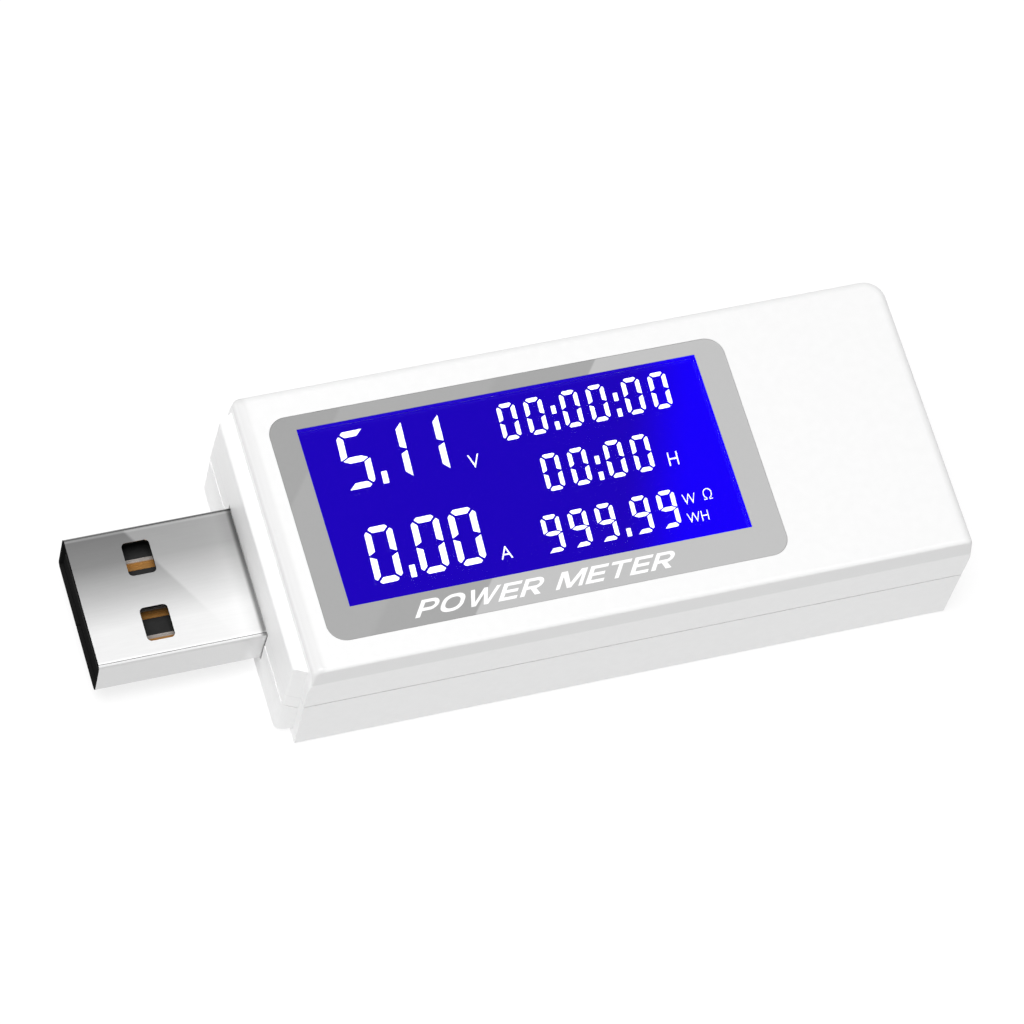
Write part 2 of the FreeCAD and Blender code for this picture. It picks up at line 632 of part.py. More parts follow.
def lower_nose(body):
    """Lower half of the nose, with round bottom corners and its sides spreading towards the case."""
    top = "nose_split - seam_gap / 2"
    reach = "(nose_width / 2 + nose_flare)"
    radius = "nose_foot_radius"
    for name, bottom, corner in (
        ("nose", "nose_bottom", radius),
        ("nose_shoulders", f"{top} - {radius}", "0.05"),
    ):
        drawing = sketch(body, name, "YZ_Plane", NOSE)
        rounded(drawing, (f"-{reach}", reach), (bottom, top), corner, corner)
        extrude(body, "Pad", drawing, "nose_reach + wall")
    sides = sketch(body, "nose_sides", "XY_Plane", top)
    beyond = f"({reach} + through)"
    for sign in ("-", ""):
        corners = [
            (NOSE, f"{sign}nose_width / 2"),
            (LEFT, f"{sign}{reach}"),
            (LEFT, f"{sign}{beyond}"),
            (NOSE, f"{sign}{beyond}"),
        ]
        polygon(sides, corners)
    slanted = extrude(body, "Pocket", sides, f"{top} - nose_bottom + through")

    def front_upright(edge):
        return lies_at(edge, "X", NOSE) and runs_along(edge, "z") and edge.Length > number("nose_foot_radius")

    soften(body, "Fillet", slanted, front_upright, "nose_side_radius")


def button_outline(body, name, at, margin):
    """The cap's outline, grown by a margin, across the case."""
    drawing = sketch(body, name, "XZ_Plane", at)
    long, tall = f"button_length / 2 + {margin}", f"button_height / 2 + {margin}"
    radius = f"button_corner + {margin}"
    x = (f"button_x - ({long})", f"button_x + {long}")
    rounded(drawing, x, (f"button_z - ({tall})", f"button_z + {tall}"), radius, radius)
    return drawing


def button_opening(body):
    drawing = button_outline(body, "button_opening", f"{SIDE} - wall - through", "button_play")
    return extrude(body, "Pocket", drawing, "wall + 2 * through")


def board_posts(body):
    """Four posts with pins that carry and locate the circuit board."""
    for name, top, radius in (
        ("post", "board_height", "post_radius"),
        ("post_pin", f"{BOARD_TOP} + post_pin_rise", "post_pin_radius"),
    ):
        drawing = sketch(body, name, "XY_Plane", "floor_wall / 2")
        for x in ("post_left", "post_right"):
            for y in ("-post_side", "post_side"):
                circle(drawing, x, y, radius)
        extrude(body, "Pad", drawing, f"{top} - floor_wall / 2")


# ---------------------------------------------------------------- label and display


def front_label():
    body = new_body("front_label")
    drawing = sketch(body, "label", "XY_Plane", "body_height - label_recess")
    corner = "label_corner"
    rounded(drawing, ("label_left", "label_right"), ("label_near", "label_far"), corner, corner)
    play = "screen_play"
    rectangle(
        drawing,
        (f"screen_left - {play}", f"screen_right + {play}"),
        (f"screen_near - {play}", f"screen_far + {play}"),
    )
    extrude(body, "Pad", drawing, "label_thickness")


def display_layers():
    """Clear window, glass plates, polarisers and the backlight sheets, from the top down."""
    screen_x = ("screen_left", "screen_right")
    screen_y = ("screen_near", "screen_far")
    glass_x = ("screen_left - glass_margin", "screen_right + glass_margin")
    face = "body_height - label_recess + label_thickness"
    plate("display_window", screen_x, screen_y, (f"{ROOF} + polariser", face))
    plate("lcd_front_polariser", screen_x, screen_y, (ROOF, f"{ROOF} + polariser"))
    plate("lcd_front_glass", glass_x, (GLASS_NEAR, GLASS_FAR), (f"{ROOF} - glass", ROOF))
    ledge = f"{GLASS_NEAR} - glass_ledge"
    plate("lcd_rear_glass", glass_x, (ledge, GLASS_FAR), (REAR_GLASS, f"{ROOF} - glass"))
    sheet_y = (GLASS_NEAR, GLASS_FAR)
    under = f"{REAR_GLASS} - polariser"
    plate("lcd_rear_polariser", glass_x, sheet_y, (under, REAR_GLASS))
    plate("backlight_diffuser", glass_x, sheet_y, (GUIDE_TOP, under))
    guide_x = ("screen_left - guide_margin", "screen_right + led_margin - led_depth")
    guide_y = ("screen_near - guide_margin", "screen_far + guide_margin")
    plate("backlight_guide", guide_x, guide_y, (f"{GUIDE_TOP} - guide", GUIDE_TOP))


def backlight_lamp():
    """Side-firing lamp at the socket end of the light guide, with two leads to the board."""
    x = ("screen_right + led_margin + tray_play - led_depth", "screen_right + led_margin")
    middle = "(screen_near + screen_far) / 2"
    y = (f"{middle} - led_width / 2", f"{middle} + led_width / 2")
    lamp = block("lamp", x, y, (f"{GUIDE_TOP} - guide + led_lift", f"{GUIDE_TOP} - led_drop"))
    leads = []
    for side, sign in (("near", "-"), ("far", "+")):
        place = f"{middle} {sign} led_width / 4"
        lead_x = (f"{x[1]} - lamp_lead", x[1])
        lead_y = (f"{place} - lamp_lead / 2", f"{place} + lamp_lead / 2")
        lead_z = (TAIL_END, f"{GUIDE_TOP} - guide + lead_root")
        leads.append(block(f"lamp_lead_{side}", lead_x, lead_y, lead_z))
    whole = DOC.addObject("Part::MultiFuse", "backlight_led")
    whole.Shapes = [lamp, *leads]
    keep(whole, "backlight_led")


def backlight_tray():
    """White tray that holds the light guide and stands on the board on four legs."""
    body = new_body("backlight_tray")
    hollow_x = ("screen_left - guide_margin - tray_play", "screen_right + led_margin + tray_play")
    hollow_y = ("screen_near - guide_margin - tray_play", "screen_far + guide_margin + tray_play")
    x, y = [(f"{low} - tray_wall", f"{high} + tray_wall") for low, high in (hollow_x, hollow_y)]
    outside = sketch(body, "tray", "XY_Plane", TRAY_BOTTOM)
    rectangle(outside, x, y)
    extrude(body, "Pad", outside, "guide + tray_floor")
    inside = sketch(body, "tray_hollow", "XY_Plane", GUIDE_TOP)
    rectangle(inside, hollow_x, hollow_y)
    extrude(body, "Pocket", inside, "guide")
    legs = sketch(body, "tray_legs", "XY_Plane", TRAY_BOTTOM)
    for low in (f"{x[0]} + tray_leg_inset", f"{x[1]} - tray_leg_inset - tray_leg"):
        for near in (y[0], f"{y[1]} - tray_leg"):
            rectangle(legs, (low, f"{low} + tray_leg"), (near, f"{near} + tray_leg"))
    extrude(body, "Pad", legs, f"{TRAY_BOTTOM} - ({BOARD_TOP})", reverse=True)
    middle = "(screen_near + screen_far) / 2"
    slots = sketch(body, "lead_slots", "XY_Plane", f"{GUIDE_TOP} - guide")
    for sign in ("-", "+"):
        place = f"{middle} {sign} led_width / 4"
        slot_x = ("screen_right + led_margin - lamp_lead - lead_play", hollow_x[1])
        half = "(lamp_lead / 2 + lead_play)"
        rectangle(slots, slot_x, (f"{place} - {half}", f"{place} + {half}"))
    extrude(body, "Pocket", slots, "tray_floor + through")


def lcd_pins():
    """A row of fork pins that clip on the ledge of the rear glass and go through the board."""
    body = new_body("lcd_pins")
    start = "(screen_left + screen_right) / 2 - (pin_count - 1) * pin_pitch / 2"
    drawing = sketch(body, "pin", "YZ_Plane", f"{start} - pin_width / 2")
    edge = f"{GLASS_NEAR} - glass_ledge"
    front = f"{edge} - pin_play"
    back = f"{front} - pin_thickness"
    tab = f"{edge} + pin_tab"
    jaw_top = f"{ROOF} - glass"
    corners = [
        (back, TAIL_END),
        (front, TAIL_END),
        (front, f"{REAR_GLASS} - pin_sheet"),
        (tab, f"{REAR_GLASS} - pin_sheet"),
        (tab, REAR_GLASS),
        (front, REAR_GLASS),
        (front, jaw_top),
        (tab, jaw_top),
        (tab, f"{jaw_top} + pin_sheet"),
        (back, f"{jaw_top} + pin_sheet"),
    ]
    polygon(drawing, corners)
    repeat(body, extrude(body, "Pad", drawing, "pin_width"), "X", "pin_pitch", "pin_count")


# ---------------------------------------------------------------- plug


def shell_tube(body, x, middle, wide, tall, corner):
    """A rectangular sheet tube along X."""
    drawing = sketch(body, "tube", "YZ_Plane", x[0])
    for inset, radius in (("0", corner), ("sheet", f"{corner} - sheet")):
        half = f"({wide}) / 2 - {inset}"
        rise = f"({tall}) / 2 - {inset}"
        y = (f"-({half})", half)
        rounded(drawing, y, (f"{middle} - ({rise})", f"{middle} + {rise}"), radius, radius)
    return extrude(body, "Pad", drawing, f"({x[1]}) - ({x[0]})")


def shell_legs(body, x, half_width):
    """Solder legs that go down from both side walls of a shell through the board."""
    drawing = sketch(body, "legs", "XY_Plane", TAIL_END)
    for start in x:
        for sign in ("-", ""):
            outer, inner = f"{sign}({half_width})", f"{sign}({half_width} - sheet)"
            y = (outer, inner) if sign else (inner, outer)
            rectangle(drawing, (start, f"{start} + leg_width"), y)
    return extrude(body, "Pad", drawing, f"{BOARD_TOP} + leg_overlap - ({TAIL_END})")


def plug_shell():
    body = new_body("plug_shell")
    x = (TIP, f"{TIP} + plug_length")
    shell_tube(body, x, PLUG_MIDDLE, "plug_width", "plug_height", "plug_corner")
    windows = sketch(body, "latch_windows", "XY_Plane", PLUG_MIDDLE)
    span = (f"{TIP} + window_start", f"{TIP} + window_start + window_length")
    for sign in ("-", ""):
        near, far = f"{sign}window_middle - window_width / 2", f"{sign}window_middle + window_width / 2"
        rounded(windows, span, (near, far), "window_radius", "window_radius")
    extrude(body, "Pocket", windows, "plug_height + through", both=True)
    seam = sketch(body, "butt_seam", "XY_Plane", f"{BOARD_TOP} + sheet + through")
    rectangle(seam, (f"{x[0]} - through", f"{x[1]} + through"), ("-shell_seam / 2", "shell_seam / 2"))
    extrude(body, "Pocket", seam, "sheet + 2 * through")
    shell_legs(body, (f"{x[1]} - plug_leg",), "plug_width / 2")


def plug_blade(drawing):
    """Side outline of a plug contact: a flat blade along the tongue, then a tail to the board."""
    top = f"{PLUG_TONGUE} + contact_proud"
    bottom = f"{top} - contact_thickness"
    start = f"{TIP} + contact_start"
    corners = [
        (start, bottom),
        ("plug_tail - contact_thickness", bottom),
        ("plug_tail - contact_thickness", TAIL_END),
        ("plug_tail", TAIL_END),
        ("plug_tail", top),
        (start, top),
    ]
    polygon(drawing, corners)


def plug_insulator():
    body = new_body("plug_insulator")
    drawing = sketch(body, "insulator", "XZ_Plane")
    floor, roof = f"{BOARD_TOP} + sheet", f"{BOARD_TOP} + plug_height - sheet"
    front = f"{TIP} + insulator_inset"
    back = f"{TIP} + plug_length - insulator_end"
    corners = [
        (front, floor),
        (back, floor),
        (back, roof),
        (f"{TIP} + plug_cavity", roof),
        (f"{TIP} + plug_cavity", PLUG_TONGUE),
        (front, PLUG_TONGUE),
    ]
    polygon(drawing, corners)
    bar = extrude(body, "Pad", drawing, "insulator_width", both=True)

    def long_corner(edge):
        ends = lies_at(edge, "Z", floor) or lies_at(edge, "Z", roof)
        return runs_along(edge, "x") and ends

    soften(body, "Fillet", bar, long_corner, "plug_corner / 2")
    contact_tunnels(body, plug_blade)


def contact_tunnels(body, blade):
    """Cut a tunnel for each contact, so that the plastic is moulded around it."""
    for name, y in CONTACTS.items():
        drawing = sketch(body, f"tunnel_{name}", "XZ_Plane", y)
        blade(drawing)
        extrude(body, "Pocket", drawing, "contact_width", both=True)


def contacts(family, blade):
    """The four contacts of a plug or socket, each a piece of its own."""
    for name, y in CONTACTS.items():
        body = new_body(f"{family}_contact_{name}")
        drawing = sketch(body, "blade", "XZ_Plane")
        blade(drawing)
        extrude(body, "Pad", drawing, "contact_width", both=True)
        body.setExpression("Placement.Base.y", linked(y))


# ---------------------------------------------------------------- socket


def socket_shell():
    body = new_body("socket_shell")
    x = (SOCKET_BACK, SOCKET_MOUTH)
    shell_tube(body, x, SOCKET_MIDDLE, "socket_width", "socket_height", "socket_corner")
    rear = sketch(body, "rear_opening", "XY_Plane", f"{BOARD_TOP} + sheet + through")
    rear_x = (f"{SOCKET_BACK} - through", f"{SOCKET_BACK} + socket_block")
    rectangle(rear, rear_x, ("-rear_opening / 2", "rear_opening / 2"))
    extrude(body, "Pocket", rear, "sheet + 2 * through")
    latch_springs(body)
    legs = (f"{SOCKET_BACK} + socket_leg_rear", f"{SOCKET_BACK} + socket_leg_front")
    shell_legs(body, legs, "socket_width / 2")


def latch_springs(body):
    """Two springs above and two below, each freed from the sheet by a U-shaped slot."""
    drawing = sketch(body, "spring_slots", "XY_Plane", SOCKET_MIDDLE)
    root = f"{SOCKET_MOUTH} - spring_root"
    end = f"{root} - spring_length"
    for sign in ("-", ""):
        middle = f"{sign}spring_side"
        inner, outer = f"{middle} - spring_width / 2", f"{middle} + spring_width / 2"
        corners = [
            (root, f"{inner} - spring_slot"),
            (root, inner),
            (end, inner),
            (end, outer),
            (root, outer),
            (root, f"{outer} + spring_slot"),
            (f"{end} - spring_slot", f"{outer} + spring_slot"),
            (f"{end} - spring_slot", f"{inner} - spring_slot"),
        ]
        polygon(drawing, corners)
    return extrude(body, "Pocket", drawing, "socket_height + through", both=True)


def socket_blade(drawing):
    """Side outline of a socket contact: a tail, then a blade under the tongue with a bump."""
    top = SOCKET_TONGUE
    bottom = f"{top} - contact_thickness"
    tail = f"{SOCKET_BACK} + socket_tail"
    tip = f"{SOCKET_MOUTH} - socket_tongue_inset - blade_inset"
    corners = [
        (tail, TAIL_END),
        (f"{tail} + contact_thickness", TAIL_END),
        (f"{tail} + contact_thickness", bottom),
        (f"{tip} - 3 * bump_length", bottom),
        (f"{tip} - 2 * bump_length", f"{bottom} - contact_thickness"),
        (f"{tip} - bump_length", bottom),
        (tip, bottom),
        (tip, top),
        (tail, top),
    ]
    polygon(drawing, corners)


def socket_insulator():
    body = new_body("socket_insulator")
    drawing = sketch(body, "insulator", "XZ_Plane")
    floor, roof = f"{BOARD_TOP} + sheet", f"{BOARD_TOP} + socket_height - sheet"
    face = f"{SOCKET_BACK} + socket_block"
    rectangle(drawing, (f"{SOCKET_BACK} + insulator_inset", face), (floor, roof))
    extrude(body, "Pad", drawing, "socket_width - 2 * socket_corner", both=True)
    tongue = sketch(body, "tongue", "XZ_Plane")
    end = f"{SOCKET_MOUTH} - socket_tongue_inset"
    tongue_z = (SOCKET_TONGUE, f"{SOCKET_TONGUE} + tongue_thickness")
    rectangle(tongue, (f"{face} - tongue_root", end), tongue_z)
    bar = extrude(body, "Pad", tongue, "socket_tongue_width", both=True)

    def at_mouth(edge):
        return lies_at(edge, "X", end) and runs_along(edge, "y")

    soften(body, "Chamfer", bar, at_mouth, "tongue_chamfer")
    contact_tunnels(body, socket_blade)


# ---------------------------------------------------------------- reset button and switch


def reset_button():
    """Oblong cap through the far wall, with a flange that keeps it in."""
    body = new_body("reset_button")
    cap = extrude(
        body,
        "Pad",
        button_outline(body, "cap", FLANGE_FACE, "0"),
        "wall + button_play + button_proud",
        reverse=True,
    )
    front = f"{SIDE} + button_proud"
    soften(body, "Fillet", cap, lambda edge: lies_at(edge, "Y", front), "button_crown")
    flange = button_outline(body, "flange", FLANGE_FACE, "flange_overlap")
    extrude(body, "Pad", flange, "flange_thickness")


def switch_rectangle(body, name, at, long, z):
    drawing = sketch(body, name, "XZ_Plane", at)
    rectangle(drawing, (f"button_x - ({long}) / 2", f"button_x + ({long}) / 2"), z)
    return drawing


def around_axis(tall):
    """Two heights, evenly above and below the button's axis."""
    return f"button_z - ({tall}) / 2", f"button_z + ({tall}) / 2"


def switch_base():
    body = new_body("switch_base")
    z = (BOARD_TOP, f"{BOARD_TOP} + switch_tall")
    solid = switch_rectangle(body, "base", "switch_back", "switch_length", z)
    extrude(body, "Pad", solid, "switch_front - switch_back", reverse=True)
    cavity_z = around_axis("2 * dome_radius + dome_play")
    cavity = switch_rectangle(body, "cavity", "switch_front", "2 * dome_radius + dome_spare", cavity_z)
    extrude(body, "Pocket", cavity, "switch_cavity", reverse=True)


def switch_cover():
    """Folded sheet cover with a hole for the stem and two legs soldered into the board."""
    body = new_body("switch_cover")
    z = (f"{BOARD_TOP} + cover_lift", f"{BOARD_TOP} + switch_tall")
    face = switch_rectangle(body, "face", "switch_front", "switch_length + 2 * cover_sheet", z)
    extrude(body, "Pad", face, "cover_sheet", reverse=True)
    flaps = sketch(body, "flaps", "XY_Plane", f"{BOARD_TOP} + switch_tall")
    legs = sketch(body, "legs", "XY_Plane", TAIL_END)
    for sign in ("-", "+"):
        edges = [f"button_x {sign} {reach}" for reach in ("switch_length / 2", "(switch_length / 2 + cover_sheet)")]
        x = edges if sign == "+" else edges[::-1]
        rectangle(flaps, x, ("switch_back + cover_inset", "switch_front + cover_sheet / 2"))
        rectangle(legs, x, COVER_LEG)
    extrude(body, "Pad", flaps, "switch_tall / 2", reverse=True)
    extrude(body, "Pad", legs, f"{BOARD_TOP} + switch_tall - leg_overlap - ({TAIL_END})")
    hole_z = around_axis("stem_height + 2 * stem_play")
    hole = switch_rectangle(body, "stem_hole", "switch_front - through / 2", "stem_length + 2 * stem_play", hole_z)
    extrude(body, "Pocket", hole, "cover_sheet + through")


def switch_dome():
    """Thin snap dome: a cap of a hollow ball, its rim on the cavity floor."""
    radius = "(dome_radius * dome_radius + dome_rise * dome_rise) / (2 * dome_rise)"
    ball, hollow = [DOC.addObject("Part::Sphere", name) for name in ("dome_outside", "dome_inside")]
    ball.setExpression("Radius", linked(radius))
    hollow.setExpression("Radius", linked(f"{radius} - dome_sheet"))
    for sphere in (ball, hollow):
        place = ("button_x", f"{DOME_RIM} + dome_rise - {radius}", "button_z")
        for axis, formula in zip("xyz", place):
            sphere.setExpression(f"Placement.Base.{axis}", linked(formula))
    skin = DOC.addObject("Part::Cut", "dome_skin")
    skin.Base, skin.Tool = ball, hollow
    punch = DOC.addObject("Part::Cylinder", "dome_punch")
    punch.setExpression("Radius", linked("dome_radius"))
    punch.setExpression("Height", linked("dome_rise + through"))
    punch.Placement.Rotation = Rotation(Vector(1, 0, 0), -90)
    for axis, formula in zip("xyz", ("button_x", DOME_RIM, "button_z")):
        punch.setExpression(f"Placement.Base.{axis}", linked(formula))
    dome = DOC.addObject("Part::Common", "switch_dome")
    dome.Base, dome.Tool = skin, punch
    keep(dome, "switch_dome")


def switch_plunger():
    """Stem with a flange, between the snap dome and the button."""
    body = new_body("switch_plunger")
    rear = f"{DOME_RIM} + dome_rise + dome_gap"
    front = "switch_front - stem_flange_play"
    flange_z = around_axis("stem_height + stem_flange_height")
    flange = switch_rectangle(body, "flange", rear, "stem_length + stem_flange_length", flange_z)
    extrude(body, "Pad", flange, f"{front} - ({rear})", reverse=True)
    stem = switch_rectangle(body, "stem", front, "stem_length", around_axis("stem_height"))
    extrude(body, "Pad", stem, f"{FLANGE_FACE} - flange_thickness - ({front})", reverse=True)


def switch_terminals():
    body = new_body("switch_terminals")
    drawing = sketch(body, "terminal", "XY_Plane", TAIL_END)
    middle = "button_x - terminal_side"
    rectangle(drawing, (f"{middle} - terminal_width / 2", f"{middle} + terminal_width / 2"), TERMINAL)
    pin = extrude(body, "Pad", drawing, f"{BOARD_TOP} - ({TAIL_END})")
    repeat(body, pin, "X", "2 * terminal_side", "2")


# ---------------------------------------------------------------- circuit board


def circuit_board():
    body = new_body("circuit_board")
    outline = sketch(body, "board", "XY_Plane", "board_height")
    half = f"{SIDE} - wall - board_play"
    x = (f"{LEFT} + wall + board_play", f"{RIGHT} - wall - board_play")
    rounded(outline, x, (f"-({half})", half), "corner_left", "corner_left")
    extrude(body, "Pad", outline, "board_thickness")
    holes = sketch(body, "post_holes", "XY_Plane", BOARD_TOP)
    for hole_x in ("post_left", "post_right"):
        for y in ("-post_side", "post_side"):
            circle(holes, hole_x, y, "post_pin_radius + post_play")
    extrude(body, "Pocket", holes, "board_thickness + through")
    slots = sketch(body, "tail_slots", "XY_Plane", BOARD_TOP)
    for slot_x, slot_y in tail_places():
        rectangle(slots, slot_x, slot_y)
    extrude(body, "Pocket", slots, "board_thickness + through")
    start = "(screen_left + screen_right) / 2 - (pin_count - 1) * pin_pitch / 2"
    pin_hole = sketch(body, "pin_hole", "XY_Plane", BOARD_TOP)
    pin_y = f"{GLASS_NEAR} - glass_ledge - pin_play - pin_thickness / 2"
    circle(pin_hole, start, pin_y, "pin_hole")
    hole = extrude(body, "Pocket", pin_hole, "board_thickness + through")
    repeat(body, hole, "X", "pin_pitch", "pin_count")


def tail_places():
    """The slot in the board for every soldered tail, as its x and y spans."""
    places = []

    def add(x, y):
        places.append(tuple((f"{low} - tail_play", f"{high} + tail_play") for low, high in (x, y)))

    def add_centred(middle, width, y):
        add((f"{middle} - {width} / 2", f"{middle} + {width} / 2"), y)

    shell_legs_at = [
        (f"{TIP} + plug_length - plug_leg", "plug_width / 2"),
        (f"{SOCKET_BACK} + socket_leg_rear", "socket_width / 2"),
        (f"{SOCKET_BACK} + socket_leg_front", "socket_width / 2"),
    ]
    for start, half in shell_legs_at:
        x = (start, f"{start} + leg_width")
        add(x, (f"-({half})", f"-({half}) + sheet"))
        add(x, (f"{half} - sheet", half))
    socket_tails = f"{SOCKET_BACK} + socket_tail"
    blades = [("plug_tail - contact_thickness", "plug_tail"), (socket_tails, f"{socket_tails} + contact_thickness")]
    for x in blades:
        for y in CONTACTS.values():
            add(x, (f"{y} - contact_width / 2", f"{y} + contact_width / 2"))
    lamp_end = "screen_right + led_margin"
    for sign in ("-", "+"):
        middle = f"(screen_near + screen_far) / 2 {sign} led_width / 4"
        add((f"{lamp_end} - lamp_lead", lamp_end), (f"{middle} - lamp_lead / 2", f"{middle} + lamp_lead / 2"))
        add_centred(f"button_x {sign} (switch_length / 2 + cover_sheet / 2)", "cover_sheet", COVER_LEG)
        add_centred(f"button_x {sign} terminal_side", "terminal_width", TERMINAL)
    return places


def footprint(drawing, name):
    """The rectangle that a piece covers on the board."""
    x = (f"{name}_x - {name}_length / 2", f"{name}_x + {name}_length / 2")
    rectangle(drawing, x, (f"{name}_y - {name}_width / 2", f"{name}_y + {name}_width / 2"))


def chip(name):
    """A moulded chip with a pin-one mark, and its gull-wing leads as a node of their own."""
    body = new_body(name)
    bottom = f"{BOARD_TOP} + chip_standoff"
    package = sketch(body, "package", "XY_Plane", bottom)
    footprint(package, name)
    extrude(body, "Pad", package, f"{name}_height")
    mark = sketch(body, "pin_one_mark", "XY_Plane", f"{bottom} + {name}_height")
    place = [f"{name}_{axis} - {name}_{side} / 2 + mark_inset" for axis, side in (("x", "length"), ("y", "width"))]
    circle(mark, *place, "mark_radius")
    extrude(body, "Pocket", mark, "mark_depth")
    leads = new_body(f"{name}_leads")
    pitch, count = f"{name}_pitch", f"{name}_count"
    start = f"{name}_x - {pitch} * ({count} - 1) / 2"
    profile = sketch(leads, "lead", "YZ_Plane", f"{start} - {pitch} / 4")
    for sign in ("-", "+"):
        polygon(profile, gull_wing(name, sign))
    repeat(leads, extrude(leads, "Pad", profile, f"{pitch} / 2"), "X", pitch, count)


def gull_wing(name, sign):
    """Corners of a gull-wing lead that leaves the package and stands on the board."""
    middle = f"{BOARD_TOP} + chip_standoff + {name}_height / 2"
    upper, lower = f"{middle} + lead_thickness / 2", f"{middle} - lead_thickness / 2"
    foot, instep = BOARD_TOP, f"{BOARD_TOP} + lead_thickness"
    shape = [
        ("0", upper),
        ("lead_knee", upper),
        ("lead_knee", instep),
        ("lead_reach", instep),
        ("lead_reach", foot),
        ("(lead_knee - lead_thickness)", foot),
        ("(lead_knee - lead_thickness)", lower),
        ("0", lower),
    ]
    return [(f"{name}_y {sign} ({name}_width / 2 + {out})", z) for out, z in shape]


def surface_piece(name):
    """A small two-ended piece that lies on the board."""
    body = new_body(name)
    drawing = sketch(body, "footprint", "XY_Plane", BOARD_TOP)
    footprint(drawing, name)
    solid = extrude(body, "Pad", drawing, f"{name}_height")
    top = f"{BOARD_TOP} + {name}_height"
    soften(body, "Chamfer", solid, lambda edge: lies_at(edge, "Z", top), "piece_bevel")


def clock_crystal():
    """Small cylinder can lying on the board, with its two leads bent into it."""
    can = DOC.addObject("Part::Cylinder", "crystal_can")
    can.setExpression("Radius", linked("crystal_radius"))
    can.setExpression("Height", linked("crystal_length"))
    can.Placement.Rotation = Rotation(Vector(0, 1, 0), 90)
    axis_height = f"{BOARD_TOP} + crystal_radius"
    for axis, formula in zip("xyz", ("crystal_x", "crystal_y", axis_height)):
        can.setExpression(f"Placement.Base.{axis}", linked(formula))
    lead_x = ("crystal_x - crystal_lead_reach", "crystal_x + crystal_lead_root")
    leads = []
    for side, sign in (("near", "-"), ("far", "+")):
        middle = f"crystal_y {sign} crystal_lead_side"
        lead_y = (f"{middle} - crystal_lead / 2", f"{middle} + crystal_lead / 2")
        leads.append(block(f"crystal_lead_{side}", lead_x, lead_y, (BOARD_TOP, axis_height)))
    whole = DOC.addObject("Part::MultiFuse", "clock_crystal")
    whole.Shapes = [can, *leads]
    keep(whole, "clock_crystal")


# ---------------------------------------------------------------- checks and export


def check_document():
    """Stop if any object failed, any cut took nothing away or any sub-part is not sound."""
    for item in DOC.Objects:
        if {"Invalid", "Error"} & set(item.State):
            raise RuntimeError(f"{item.Label} failed: {item.State}")
        if item.TypeId == "PartDesign::Pocket":
            if item.Shape.Volume > item.BaseFeature.Shape.Volume - TOLERANCE:
                raise RuntimeError(f"{item.Label} cuts nothing")
    for node in NODES:
        if node.Shape.isNull() or not node.Shape.isValid():
            raise RuntimeError(f"{node.Label} has no sound shape")


def export_nodes():
    os.makedirs("parts", exist_ok=True)
    for node in NODES:
        node.Shape.exportStep(f"parts/{node.Label}.step")


def build():
    fill_sheet()
    upper_case()
    lower_case()
    front_label()
    display_layers()
    backlight_lamp()
    backlight_tray()
    lcd_pins()
    circuit_board()
    for name in BOARD_PIECES:
        make = chip if name in CHIP_LEADS else surface_piece
        make(name)
    clock_crystal()
    plug_shell()
    plug_insulator()
    contacts("plug", plug_blade)
    socket_shell()
    socket_insulator()
    contacts("socket", socket_blade)
    reset_button()
    switch_base()
    switch_cover()
    switch_dome()
    switch_plunger()
    switch_terminals()
    DOC.recompute()
    check_document()
    export_nodes()


build()
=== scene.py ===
"""Inline USB power meter: its looks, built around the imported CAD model.

The frame is the CAD's own: origin under the middle of the case, +X from the plug to the socket,
+Y towards the side with the button, +Z up. Blender works in metres, and MM makes millimetres of them.
"""
import json
import math

import bmesh
import bpy
from mathutils import Matrix, Quaternion, Vector


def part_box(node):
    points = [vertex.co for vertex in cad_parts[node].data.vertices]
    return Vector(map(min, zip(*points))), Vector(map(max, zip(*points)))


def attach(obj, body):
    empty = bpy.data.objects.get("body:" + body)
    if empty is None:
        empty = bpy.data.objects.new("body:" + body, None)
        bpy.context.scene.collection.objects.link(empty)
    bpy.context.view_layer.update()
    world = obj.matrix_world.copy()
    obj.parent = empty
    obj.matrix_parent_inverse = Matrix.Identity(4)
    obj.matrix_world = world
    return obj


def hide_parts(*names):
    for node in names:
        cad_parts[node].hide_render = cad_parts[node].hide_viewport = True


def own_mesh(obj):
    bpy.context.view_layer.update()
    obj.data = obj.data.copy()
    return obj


MM = 0.001
METER = "meter"

# Camera, solved from the straight edges of the case and the plug.
LENS = 193.6  # millimetres, on Blender's 36 mm sensor
VIEW_AZIMUTH = 32.6157  # degrees from +Y towards +X
VIEW_ELEVATION = 61.6825
VIEW_ROLL = 18.3551
VIEW_DISTANCE = 450.583 * MM
AIM = Vector((-1.032, -2.162, 13.4)) * MM

# Light. A dark card hangs in the direction SHADE, so that the window shows no glare.
WORLD_GREY = 0.36
SHADE = Vector((0.256, 0.40, 0.88)).normalized()
SHADE_GREY = 0.01
SHADE_EDGE = (0.86, 0.97)  # cosine of the angle from the card's middle: light outside, dark inside
KEY_PLACE = Vector((-0.24, -0.10, 0.965))
KEY_SIZE = 0.5
KEY_POWER = 9.2
FLOOR_SIZE = 6.0
FLOOR_GLOW = 0.8

